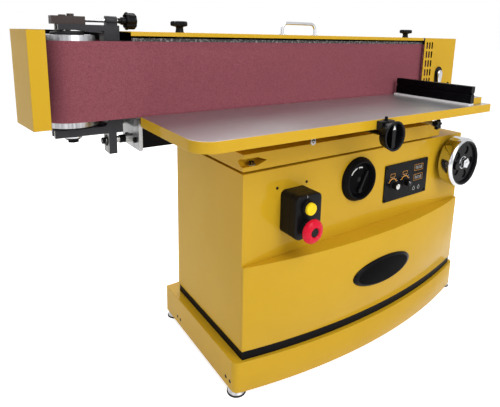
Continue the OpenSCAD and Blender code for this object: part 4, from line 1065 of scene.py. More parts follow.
class Shape:
    """A mesh in a piece's own frame, in metres, made into a piece at the end."""

    pin_point: float = 0.02 * MM

    def __init__(self) -> None:
        """Starts an empty mesh."""
        self.mesh = bmesh.new()

    def loft(self, rings: Iterable[Sequence[Point]], caps: bool = True) -> "Shape":
        """Skins a row of closed rings that have as many points each.

        Args:
            rings: The rings in order.
            caps: Whether both ends are closed.

        Returns:
            The shape itself.
        """
        rows = [[self.mesh.verts.new(p) for p in ring] for ring in rings]
        count = len(rows[0])
        for first, second in zip(rows, rows[1:]):
            for i in range(count):
                j = (i + 1) % count
                self.mesh.faces.new((first[i], first[j], second[j], second[i]))
        if caps:
            self.mesh.faces.new(list(reversed(rows[0])))
            self.mesh.faces.new(rows[-1])
        return self

    def stack(self, outline: Callable[[float], list[Flat]], levels: Profile) -> "Shape":
        """Lofts one outline at several insets and heights.

        Args:
            outline: Gives the outline at an inset.
            levels: Pairs of inset and height.

        Returns:
            The shape itself.
        """
        return self.loft([[(x, y, z) for x, y in outline(inset)] for inset, z in levels])

    def lobed(self, levels: Levels, count: int, points: int = 120) -> "Shape":
        """Lofts a grip with lobes.

        Args:
            levels: Radius, height and depth of the hollows at each ring.
            count: Number of lobes.
            points: Points in each ring.

        Returns:
            The shape itself.
        """
        return self.loft([[(x, y, z) for x, y in lobes(r, count, dent, points)] for r, z, dent in levels])

    def revolve(self, profile: Profile, count: int = Round.PLAIN, caps: bool = True) -> "Shape":
        """Turns a profile of radius and height about the outward axis.

        Args:
            profile: Pairs of radius and height. A radius of zero is widened to a pin point.
            count: Steps round the axis.
            caps: Whether both ends are closed, which a ring with a bore isn't.

        Returns:
            The shape itself.
        """
        rings = [(ring_of(max(r, self.pin_point), count), z) for r, z in profile]
        return self.loft([[(x, y, z) for x, y in ring] for ring, z in rings], caps)

    def collar(self, profile: Profile, count: int = Round.PLAIN) -> "Shape":
        """Turns a closed profile about the outward axis, for a ring with a bore.

        Args:
            profile: Pairs of radius and height, each corner once.
            count: Steps round the axis.

        Returns:
            The shape itself.
        """
        return self.revolve([*profile, profile[0]], count, caps=False)

    def plate(self, outline: Sequence[Flat], bottom: float, top: float) -> "Shape":
        """A flat plate.

        Args:
            outline: Its outline, anticlockwise.
            bottom: Height of its back.
            top: Height of its face.

        Returns:
            The shape itself.
        """
        return self.loft([[(x, y, z) for x, y in outline] for z in (bottom, top)])

    def band(self, radii: Flat, arc: Flat, bottom: float, top: float,
             centre: Flat = (0.0, 0.0), steps: int = 24) -> "Shape":
        """A flat arc of even width.

        Args:
            radii: Inner and outer radius.
            arc: First angle and angle swept, in degrees.
            bottom: Height of its back.
            top: Height of its face.
            centre: Middle of the arc.
            steps: Steps along it.

        Returns:
            The shape itself.
        """
        inner, outer = (ring_of(radius, steps, *arc) for radius in radii)
        return self.plate(offset(outer + inner[::-1], *centre), bottom, top)

    def bar(self, first: Flat, second: Flat, width: float, bottom: float, top: float) -> "Shape":
        """A flat straight stroke.

        Args:
            first: One end.
            second: The other end.
            width: Stroke width.
            bottom: Height of its back.
            top: Height of its face.

        Returns:
            The shape itself.
        """
        along = Vector(second) - Vector(first)
        side = Vector((-along.y, along.x)).normalized() * (width / 2)
        ends = (Vector(first) - side, Vector(second) - side, Vector(second) + side, Vector(first) + side)
        return self.plate([tuple(p) for p in ends], bottom, top)

    def piece(self, name: str, place: Matrix, finish: Finish, body: str, slot: str,
              bevel: float = 0.0, smooth: float = Crease.TURNED, replaces: str = "") -> None:
        """Ends the mesh as a piece that rides on a body.

        Args:
            name: The piece's name.
            place: Matrix from the piece's own frame to the part.
            finish: Its finish.
            body: The body that it rides on.
            slot: The record's material slot; not used.
            bevel: Width of rounded edges, in metres.
            smooth: Edges under this angle are shaded smooth, in degrees.
            replaces: The solid that it stands for, if any.
        """
        bmesh.ops.recalc_face_normals(self.mesh, faces=self.mesh.faces[:])
        data = bpy.data.meshes.new(name)
        self.mesh.to_mesh(data)
        self.mesh.free()
        data.transform(place)
        data.polygons.foreach_set("use_smooth", [True] * len(data.polygons))
        data.set_sharp_from_angle(angle=math.radians(smooth))
        data.materials.append(Wardrobe.material(finish))
        made = bpy.data.objects.new(name, data)
        bpy.context.scene.collection.objects.link(made)
        if bevel:
            Wardrobe.soften(made, bevel, Wardrobe.piece_segments)
        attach(made, body)
        if replaces:
            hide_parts(replaces)
        LOG.info("built %s on %s", name, body)


class Assembly:
    """A sub-assembly, which builds its fine pieces and dresses its solids."""

    def build(self) -> None:
        """Makes the pieces."""
        raise NotImplementedError

    def dress(self) -> None:
        """Dresses the solids, where any is left without a piece in its place."""


@dataclass
class Cabinet(Assembly):
    """Bowed plinth, black toe band, folded cabinet, bowed front panel and its blank oval plate."""

    bow_end: float = 10 * MM
    badge_rim: float = 6.5 * MM
    badge_slim_share: float = 0.76
    border_shares: Profile = ((1.0, 0.0), (1.0, 0.4), (0.99, 0.66), (0.965, 0.92), (0.93, 1.16),
                              (0.89, 1.34), (0.87, 1.4))
    face_shares: Profile = ((0.87, 1.38), (0.87, 1.41), (0.86, 1.43))
    hole_r: float = 4.5 * MM
    hole_lip: float = 0.5 * MM
    hole_shares: Profile = ((0.0, 0.2), (1.0, 0.2), (1.25, 1.0), (1.4, 0.0))
    hole_up: float = 30 * MM
    hole_gap: float = 26 * MM
    hole_in: float = 120 * MM
    screw_head: Profile = mm((4.8, 0), (4.8, 1.0), (4.128, 1.9), (2.88, 2.5), (0, 2.8))
    screw_inset: float = 9 * MM
    recess_half: float = 2.88 * MM
    recess_w: float = 1.1 * MM
    recess_rise: Flat = (1.5 * MM, 2.9 * MM)
    recess_turns: Flat = (20.0, 110.0)
    recess_step: float = 13.0
    box_screw_off: float = 6 * MM
    box_screw_half: float = 61.5 * MM
    pad_h: float = 5 * MM

    def bow(self, x: float) -> float:
        """Front face of the bowed panel.

        Args:
            x: Place along the panel.

        Returns:
            Its Y there.
        """
        corner, size = low("bow_panel"), span("bow_panel")
        half = size.x / 2
        rise = size.y - self.bow_end
        radius = (half * half + rise * rise) / (2 * rise)
        off = x - middle("bow_panel").x
        return corner.y + radius - math.sqrt(radius * radius - off * off)

    def build(self) -> None:
        """Makes the oval plate, the plinth's holes and the screw heads."""
        self.badge()
        self.holes()
        self.screws()

    def badge(self) -> None:
        """Makes the blank oval plate on the bow, with its bevelled border."""
        centre = middle("badge_plate")
        half_w = span("badge_plate").x / 2
        half_h = self.badge_slim_share * span("badge_plate").z / 2

        def ring(share: float, lift: float) -> list[Point]:
            """An oval at a share of the plate's size, with its height over the bow as a share of the rim."""
            flat = [(centre.x + half_w * x, centre.z + half_h * z) for x, z in ring_of(share, Round.GREAT)]
            return [(x, self.bow(x) - lift * self.badge_rim, z) for x, z in flat]

        for name, shares, finish, node in (("badge_dome", self.border_shares, LACQUER, "badge_plate"),
                                           ("badge_face", self.face_shares, DEEP_BLACK, "")):
            oval = Shape().loft([ring(*level) for level in shares])
            oval.piece(name, Matrix(), finish, "base", "black_plastic", smooth=Crease.MOULDED, replaces=node)

    def holes(self) -> None:
        """Makes the two pairs of holes in the plinth's left side as black discs with a lip: the black is
        painted shade.
        """
        near, far = low("plinth"), high("plinth")
        profile = scaled(self.hole_shares, self.hole_r, self.hole_lip)
        rows = (near.y + self.hole_in, far.y - self.hole_in)
        for index, y in enumerate(row + side * self.hole_gap / 2 for row in rows for side in (-1, 1)):
            hole = Shape().revolve(profile, Round.TINY)
            place = Face.LEFT.at((near.x, y, near.z + self.hole_up))
            hole.piece(f"plinth_hole_{index}", place, BLACK_ENAMEL, "base", "black_paint")

    def screws(self) -> None:
        """Makes domed heads in place of the plain ones, each with a black cross for its recess: the black is
        painted shade.
        """
        i = self.screw_inset
        spots = []
        for node, face, finish, slot in (("control_panel", Face.FRONT, BLACK_ENAMEL, "black_paint"),
                                         ("rear_panel", Face.BACK, STEEL, "steel")):
            near, far = low(node), high(node)
            y = near.y if face is Face.FRONT else far.y
            places = [(x, y, z) for x in (near.x + i, far.x - i) for z in (near.z + i, far.z - i)]
            spots += [(face.at(place), finish, slot) for place in places]
        x, z = middle("switch_box").x - self.box_screw_off, high("switch_box").z + i
        for side in (-1, 1):
            place = Face.FRONT.at((x + side * self.box_screw_half, low("cabinet_shell").y, z))
            spots.append((place, BLACK_ENAMEL, "black_paint"))
        for index, (place, finish, slot) in enumerate(spots):
            node = "" if index else "panel_screws"
            head = Shape().revolve(self.screw_head, Round.TINY)
            head.piece(f"screw_{index}", place, finish, "base", slot, replaces=node)
            # The cross recess is a black cross on the head: painted shade.
            cross = Shape()
            for turn in self.recess_turns:
                a = math.radians(turn + self.recess_step * index)
                end = Vector((math.cos(a), math.sin(a))) * self.recess_half
                cross.bar(-end, end, self.recess_w, *self.recess_rise)
            cross.piece(f"screw_cross_{index}", place, BLACK_ENAMEL, "base", "black_paint")

    def dress(self) -> None:
        """Paints the cabinet's solids, and dresses its feet."""
        for node, edge in (("plinth", Edge.BENT), ("cabinet_shell", Edge.PRESSED), ("bow_panel", Edge.BENT),
                           ("rear_panel", Edge.FOLDED)):
            Wardrobe.dress(node, YELLOW, edge)
        Wardrobe.dress("toe_band", BLACK_ENAMEL)
        feet = Wardrobe.shared(ROUND_STEEL, RUBBER, Mask.ABOVE, (self.pad_h,))
        Wardrobe.dress("leveling_feet", feet, Edge.TRIMMED)


@dataclass
class SwitchBox(Assembly):
    """Black starter box with a yellow start button and a red mushroom stop.

    The start face and the stop cap pair a share of the radius with a height in millimetres.
    """

    corner_r: float = 18 * MM
    corner_share: float = 0.6
    corner_steps: int = 8
    lid: float = 47 * MM
    seam: float = 1.6 * MM
    seam_lip: float = 0.2 * MM
    edge: float = 5 * MM
    edge_shares: Profile = ((0.0, -1.0), (0.12, -0.5), (0.45, -0.14), (1.0, 0.0))
    face_in: float = 8 * MM
    start_collar: Point = (25 * MM, 20.6 * MM, 15 * MM)
    stop_collar: Point = (27 * MM, 18 * MM, 12 * MM)
    collar_step: float = 1.2 * MM
    collar_lip: float = 2.2 * MM
    collar_shares: Point = (0.55, 0.62, 0.9)
    collar_floor: float = 0.2 * MM
    mark_up: float = 34 * MM
    mark_half: float = 4 * MM
    mark_w: float = 1.2 * MM
    mark_t: float = 0.3 * MM
    start_edge: Profile = mm((0, -2.5), (-0.7, -0.8), (-2.2, 0))
    start_face: Profile = ((0.74, 0), (0.7, -0.9), (0.62, -0.9), (0.58, -0.2), (0, -0.6))
    stop_stem: float = 17 * MM
    stop_cap_h: float = 22 * MM
    stop_cap: Profile = ((0.86, 0), (0.96, 1.5), (1, 5), (0.985, 9), (0.93, 13.5), (0.82, 17.5), (0.68, 20.3),
                         (0.56, 21.6), (0.47, 21.4))
    stop_dish: Profile = mm((15.5, 19), (14, 16), (0, 16))
    stop_plug: Profile = mm((14, 15), (14, 18), (13, 18.8), (0, 18.4))

    def build(self) -> None:
        """Makes the moulded box, its collars, its mark and both buttons."""
        size = span("switch_box")
        depth = size.y - self.face_in
        lid, seam, lip = self.lid, self.seam, self.seam_lip
        levels = [(0, 0), (0, lid), (seam, lid + lip), (seam, lid + seam), (0, lid + seam + lip),
                  *scaled(self.edge_shares, self.edge, self.edge, depth)]

        def outline(inset: float) -> list[Flat]:
            """The box's outline at an inset."""
            corner = self.corner_r - inset * self.corner_share
            return rounded(size.x - 2 * inset, size.z - 2 * inset, corner, self.corner_steps)

        box = Shape().stack(outline, levels)
        box.piece("switch_case", Face.FRONT.at(back_of("switch_box")), BLACK_PLASTIC, "base", "black_plastic",
                  smooth=Crease.CASE, replaces="switch_box")
        front = high("switch_box").y - depth
        start, stop = middle("start_button"), middle("stop_button")
        self.collar("start_collar", (start.x, front, start.z), *self.start_collar)
        self.collar("stop_collar", (stop.x, front, stop.z), *self.stop_collar)
        mark = Shape().bar((0, -self.mark_half), (0, self.mark_half), self.mark_w, 0, self.mark_t)
        place = Face.FRONT.at((start.x, front, start.z + self.mark_up))
        mark.piece("case_mark", place, WHITE_INK_AND_HIGHLIGHT, "base", "black_plastic")
        self.start()
        self.stop()

    def collar(self, name: str, place: Point, outer: float, inner: float, height: float) -> None:
        """Makes a round collar with a stepped rim.

        Args:
            name: Name of the piece.
            place: Middle of its foot.
            outer: Outer radius.
            inner: Bore radius.
            height: Height.
        """
        step = outer - self.collar_step
        low_share, step_share, high_share = self.collar_shares
        profile = [(outer, 0), (outer, height * low_share), (step, height * step_share),
                   (step, height * high_share), (outer - self.collar_lip, height), (inner, height),
                   (inner, self.collar_floor)]
        Shape().revolve(profile).piece(name, Face.FRONT.at(place), BLACK_PLASTIC, "base", "black_plastic")

    def start(self) -> None:
        """Makes the yellow button with its ring groove."""
        size = span("start_button")
        r, depth = size.x / 2, size.y
        profile = [(r, 0), *offset(self.start_edge, r, depth), *scaled(self.start_face, r, MM, depth)]
        place = Face.FRONT.at(back_of("start_button"))
        Shape().revolve(profile).piece("start_cap", place, YELLOW_PLASTIC, "start_button", "yellow_plastic",
                                       replaces="start_button")

    def stop(self) -> None:
        """Makes the red mushroom with its stem and dark centre."""
        size = span("stop_button")
        foot = size.y - self.stop_cap_h
        profile = [(self.stop_stem, 0), (self.stop_stem, foot), *scaled(self.stop_cap, size.x / 2, MM, foot),
                   *offset(self.stop_dish, 0, foot)]
        place = Face.FRONT.at(back_of("stop_button"))
        cap = Shape().revolve(profile, Round.WIDE)
        cap.piece("stop_cap", place, RED_PLASTIC, "stop_button", "red_plastic", replaces="stop_button")
        plug = Shape().revolve(offset(self.stop_plug, 0, foot))
        plug.piece("stop_centre", place, BLACK_PLASTIC, "stop_button", "black_plastic")


@dataclass
class ControlPanel(Assembly):
    """Black panel with two knobs, orange arcs, tick marks and plain outlined boxes.

    The knob's rings give a share of the radius, a height in millimetres and a share of the flutes. The cap
    pairs a share of the radius with a height in millimetres.
    """

    ink: float = 0.25 * MM
    arc_radii: Flat = (23.5 * MM, 27 * MM)
    arc: Flat = (25.0, 130.0)
    arc_steps: int = 28
    ticks: int = 6
    tick_radii: Flat = (29 * MM, 32.5 * MM)
    tick_w: float = 1.1 * MM
    label_off: Flat = (-2 * MM, 39 * MM)
    label_size: Flat = (27 * MM, 13 * MM)
    screen_in: float = 60 * MM
    screen_rows: Flat = (34 * MM, 76 * MM)
    screen_size: Flat = (56 * MM, 25 * MM)
    frame_w: float = 1.2 * MM
    strokes: int = 5
    stroke_in: float = 78 * MM
    stroke_pitch: float = 9 * MM
    stroke_half: float = 7 * MM
    stroke_short: float = 2 * MM
    stroke_w: float = 1.6 * MM
    symbol_in: Flat = (83 * MM, 51 * MM)
    symbol_up: float = 27 * MM
    symbol_radii: Flat = (6 * MM, 7.2 * MM)
    symbol_arc: Flat = (120.0, 300.0)
    stem_ends: Flat = (32 * MM, 39 * MM)
    stem_w: float = 1.3 * MM
    knob_h: float = 26 * MM
    knob_turn: float = 32.0
    knob_rings: Levels = ((0.22, 0, 0), (1, 0, 0), (1, 3, 0), (0.9, 4.4, 0), (0.76, 5, 1), (0.74, 23.5, 1),
                          (0.7, 25.4, 0.7), (0.64, 26, 0))
    knob_points: int = 144
    flutes: int = 18
    flute: float = 1.1 * MM
    cap: Profile = ((0.6, -0.5), (0.6, 0.8), (0.52, 1.4), (0, 1.5))
    line_shares: Flat = (0.1, 0.62)
    line_w: float = 2.2 * MM
    line_rise: float = 0.4 * MM
    cap_line_rise: float = 1.9 * MM

    def build(self) -> None:
        """Makes the printed marks and both knobs."""
        orange, white = Shape(), Shape()
        for node in ("speed_knob", "mode_knob"):
            self.scale(orange, white, Vector((middle(node).x, middle(node).z)))
        self.screens(orange, white)
        self.symbols(white)
        place = Face.FRONT.at((0, low("control_panel").y, 0))
        orange.piece("panel_orange_marks", place, ORANGE_INK, "base", "black_plastic")
        white.piece("panel_white_marks", place, WHITE_INK_AND_HIGHLIGHT, "base", "black_plastic")
        self.knob("speed_knob", True)
        self.knob("mode_knob", False)

    def scale(self, orange: Shape, white: Shape, centre: Vector) -> None:
        """Adds the arc, the ticks and the blank label round a knob.

        Args:
            orange: The orange marks.
            white: The white marks.
            centre: Middle of the knob across and up the panel.
        """
        orange.band(self.arc_radii, self.arc, 0, self.ink, centre, self.arc_steps)
        start, sweep = self.arc
        for tick in range(self.ticks):
            a = math.radians(start + sweep * tick / (self.ticks - 1))
            inner, outer = (centre + Vector((math.cos(a), math.sin(a))) * r for r in self.tick_radii)
            white.bar(inner, outer, self.tick_w, 0, self.ink)
        self.frame_box(orange, centre + Vector(self.label_off), self.label_size)

    def screens(self, orange: Shape, white: Shape) -> None:
        """Adds the two outlined boxes with plain strokes in them.

        Args:
            orange: The orange marks.
            white: The white marks.
        """
        far = high("control_panel")
        for down in self.screen_rows:
            z = far.z - down
            self.frame_box(orange, Vector((far.x - self.screen_in, z)), self.screen_size)
            for column in range(self.strokes):
                x = far.x - self.stroke_in + column * self.stroke_pitch
                top = z + self.stroke_half - self.stroke_short * (column % 2)
                white.bar((x, z - self.stroke_half), (x, top), self.stroke_w, 0, self.ink)

    def symbols(self, white: Shape) -> None:
        """Adds the two rings with a stem under the boxes.

        Args:
            white: The white marks.
        """
        far, foot = high("control_panel"), low("control_panel").z
        for inset in self.symbol_in:
            x = far.x - inset
            centre = (x, foot + self.symbol_up)
            white.band(self.symbol_radii, self.symbol_arc, 0, self.ink, centre, self.arc_steps)
            first, second = ((x, foot + up) for up in self.stem_ends)
            white.bar(first, second, self.stem_w, 0, self.ink)

    def frame_box(self, shape: Shape, centre: Vector, size: Flat) -> None:
        """Adds a printed outline of a box.

        Args:
            shape: Marks of one colour.
            centre: Middle across and up the panel.
            size: Width and height of the outline.
        """
        w, h = size[0] / 2, size[1] / 2
        ends = [centre + Vector(end) for end in ((-w, -h), (w, -h), (w, h), (-w, h))]
        for first, second in zip(ends, ends[1:] + ends[:1]):
            shape.bar(first, second, self.frame_w, 0, self.ink)

    def knob(self, node: str, capped: bool) -> None:
        """Makes a fluted knob with a pointer.

        Args:
            node: The solid that it stands for.
            capped: Whether its face is a pale cap.
        """
        r, depth = span(node).x / 2, span(node).y
        rings = ringed(self.knob_rings, r, MM, self.flute, depth - self.knob_h)
        place = Face.FRONT.at(back_of(node), self.knob_turn)
        grip = Shape().lobed([(rings[0][0], 0, 0), *rings], self.flutes, self.knob_points)
        grip.piece(node + "_grip", place, BLACK_PLASTIC, node, "black_plastic", smooth=Crease.FLUTED,
                   replaces=node)
        if capped:
            cap = Shape().revolve(scaled(self.cap, r, MM, depth))
            cap.piece(node + "_cap", place, WHITE_INK_AND_HIGHLIGHT, node, "black_plastic")
        rise = self.cap_line_rise if capped else self.line_rise
        first, second = ((0, r * share) for share in self.line_shares)
        line = Shape().bar(first, second, self.line_w, depth - self.line_rise, depth + rise)
        line.piece(node + "_line", place, BLACK_PLASTIC if capped else WHITE_INK_AND_HIGHLIGHT, node, "black_plastic")

    def dress(self) -> None:
        """Dresses the panel plate."""
        Wardrobe.dress("control_panel", PANEL_BLACK, Edge.FOLDED)


@dataclass
class Dial(Assembly):
    """Round dial: a raised ring, and a dish with a grip bar beside its middle and two white arcs of painted
    highlight.
    """

    ring_edge: float = 3 * MM
    ring_outer: Profile = mm((0, 0), (0, 3), (-1, 6))
    ring_slope: Profile = mm((-9, -3), (-12, -0.5))
    ring_inner: Profile = mm((4, 0), (1, -1), (0, -3))
    clear: float = 0.8 * MM
    dish_lip: float = 5 * MM
    dish_depth: float = 13 * MM
    dish_slope: float = 7 * MM
    dish_shares: Flat = (0.6, 0.93)
    bar_w: float = 10 * MM
    bar_h: float = 9 * MM
    bar_off: float = 20 * MM
    bar_end: float = 7 * MM
    bar_turn: float = -28.0
    bar_shares: Profile = ((0.0, 0.6), (0.12, 0.9), (0.3, 1.0))
    bar_corner_gap: float = 0.1 * MM
    bar_corner_steps: int = 6
    eye_r: float = 9 * MM
    eye_shares: Point = (0.5, 0.64, 0.86)
    arc_r: float = 43 * MM
    arc_w: float = 4.5 * MM
    arc_sunk: float = 0.2 * MM
    arc_rise: float = 0.5 * MM
    arcs: Profile = ((106, 46), (70, 26))
    hub_r: float = 10 * MM
    hub_shares: Profile = ((1.0, -1.0), (1.0, 1.0), (0.8, 2.0), (0.5, 2.0), (0.4, 1.0), (0.0, 1.0))

    def build(self) -> None:
        """Makes the ring, the dish, its bar and hub, and the two white arcs of painted highlight."""
        near, far = low("dial_bezel"), high("dial_bezel")
        bore = span("dial_cup").x / 2
        face = low("cabinet_shell").y
        rise, sunk = face - near.y, far.y - face
        floor = rise - self.dish_lip - self.dish_depth
        spot = (middle("dial_bezel").x, face, middle("dial_bezel").z)
        self.ring(Face.FRONT.at(spot), bore + self.clear, rise, sunk)
        turned = Face.FRONT.at(spot, self.bar_turn)
        self.dish(turned, bore, floor, sunk)
        self.bar(turned, bore - self.ring_edge - self.dish_slope - self.bar_end, floor)
        # The two white arcs on the dish's floor are painted highlights.
        for index, arc in enumerate(self.arcs):
            radii = (self.arc_r, self.arc_r + self.arc_w)
            painted_highlight = Shape().band(radii, arc, floor - self.arc_sunk, floor + self.arc_rise)
            painted_highlight.piece(f"dial_arc_{index}", Face.FRONT.at(spot), WHITE_INK_AND_HIGHLIGHT, "dial", "black_plastic")

    def ring(self, place: Matrix, bore: float, rise: float, sunk: float) -> None:
        """Makes the fixed ring round the dish.

        Args:
            place: Frame on the cabinet's face.
            bore: Inner radius.
            rise: How far it stands out of the face.
            sunk: How far it reaches in.
        """
        outer, foot = span("dial_bezel").x / 2, bore + self.ring_edge
        profile = [(bore, -sunk), (foot, -sunk), (foot, 0), *offset(self.ring_outer, outer, 0),
                   *offset(self.ring_slope, outer, rise), *offset(self.ring_inner, bore, rise)]
        ring = Shape().collar(profile, Round.BROAD)
        ring.piece("dial_ring", place, BLACK_ENAMEL, "base", "black_plastic", replaces="dial_bezel")

    def dish(self, place: Matrix, bore: float, floor: float, sunk: float) -> None:
        """Makes the turning dish.

        Args:
            place: Frame on the cabinet's face, turned along the bar.
            bore: Outer radius of the dish.
            floor: Height of its floor.
            sunk: How far the ring reaches in.
        """
        top = floor + self.dish_depth
        inner = bore - self.ring_edge
        foot = inner - self.dish_slope
        back, side = (bore * share for share in self.dish_shares)
        profile = [(back, -sunk), (side, floor), (bore, top - self.ring_edge), (bore - self.clear, top),
                   (inner, top - self.clear), (foot, floor + self.clear), (foot - self.clear, floor),
                   (0, floor)]
        dish = Shape().revolve(profile, Round.BROAD)
        dish.piece("dial_dish", place, DEEP_BLACK, "dial", "black_plastic", replaces="dial_cup")

    def bar(self, place: Matrix, reach: float, floor: float) -> None:
        """Makes the grip bar, the eye at its end and the hub.

        Args:
            place: Frame on the cabinet's face, turned along the bar.
            reach: Radius that the bar's ends reach.
            floor: Height of the dish's floor.
        """
        half = math.sqrt(reach * reach - self.bar_off * self.bar_off)
        lift = floor + self.bar_h

        def outline(inset: float) -> list[Flat]:
            """The bar's outline at an inset."""
            corner = self.bar_w / 2 - inset - self.bar_corner_gap
            plain = rounded(self.bar_w - 2 * inset, 2 * half - 2 * inset, corner, self.bar_corner_steps)
            return offset(plain, self.bar_off, 0)

        levels = [(0, floor - self.clear), *scaled(self.bar_shares, self.bar_w, self.bar_h, floor)]
        grip = Shape().stack(outline, levels)
        grip.piece("dial_bar", place, GLOSS_BLACK, "dial", "black_plastic", smooth=Crease.MOULDED)
        bore, shoulder, brow = (self.eye_r * share for share in self.eye_shares)
        profile = [(bore, floor), (self.eye_r, floor), (self.eye_r, lift), (brow, lift + self.clear),
                   (shoulder, lift + self.clear), (bore, lift)]
        eye = Shape().collar(profile, Round.FAIR)
        spot = place @ Matrix.Translation((self.bar_off, self.eye_r - half, 0))
        eye.piece("dial_bar_eye", spot, GLOSS_BLACK, "dial", "black_plastic")
        hub = Shape().revolve(scaled(self.hub_shares, self.hub_r, self.clear, floor), Round.FAIR)
        hub.piece("dial_hub", place, GLOSS_BLACK, "dial", "black_plastic")


@dataclass
class Handwheel(Assembly):
    """Plated rim on a black web with a plated knob in the middle, and the lift drive that it turns."""

    rim_in: float = 100 * MM
    rim_r: float = 105 * MM
    rim_w: float = 58 * MM
    roll_r: float = 18 * MM
    roll_out: float = 3.2 * MM
    roll_end: float = 65.0
    roll_steps: int = 10
    skin: float = 0.4 * MM
    belly_share: float = 0.7
    hub_ring: Profile = mm((24, 0), (27.4, 0), (27.4, 2), (25.5, 3), (24, 2))
    knob_cap: Profile = mm((8, -1), (8, 0.8), (6.5, 1.6), (0, 1.8))

    def build(self) -> None:
        """Makes the rolled rim, the ring round the hub and the cap of the knob."""
        self.roll()
        hub = middle("handwheel")
        ring = Shape().collar(self.hub_ring)
        place = Face.FRONT.at((hub.x, high("handwheel_knob").y, hub.z))
        ring.piece("hub_ring", place, CHROME, "handwheel", "chrome")
        cap = Shape().revolve(self.knob_cap, Round.FAIR)
        place = Face.FRONT.at((hub.x, low("handwheel_knob").y, hub.z))
        cap.piece("wheel_cap", place, CHROME, "handwheel", "chrome")

    def roll(self) -> None:
        """Makes the plated rim's full round front over the solid's small one."""
        hub = middle("handwheel")
        r, out, back = self.rim_r, self.roll_out, self.rim_w
        arc = ring_of(self.roll_r, self.roll_steps, 0.0, self.roll_end)
        front = offset(arc, r + out - self.roll_r, out - self.roll_r)
        tuck = front[-1][0] - out / 2
        profile = [(r - out, -back), (r + self.skin, -back), (r + out * self.belly_share, -back / 2), *front,
                   (tuck, front[-1][1] - out / 3), (tuck, -out)]
        place = Face.FRONT.at((hub.x, low("handwheel").y, hub.z))
        Shape().collar(profile, Round.GREAT).piece("wheel_roll", place, CHROME, "handwheel", "chrome")

    def dress(self) -> None:
        """Plates the rim and the knob, blackens the web and dresses the lift drive."""
        hub = middle("handwheel")
        rim = Wardrobe.shared(CHROME, LACQUER, Mask.RADIUS, (hub.x, hub.z, self.rim_in))
        for row in (("handwheel", rim, Edge.FOLDED), ("handwheel_knob", CHROME, Edge.ROLLED),
                    ("cross_shaft", STEEL), ("lift_gearbox", GREY_CASTING, Edge.ROLLED),
                    ("screw_jacks", GREY_CASTING, Edge.ROLLED), ("guide_bushes", ROUND_STEEL)):
            Wardrobe.dress(*row)


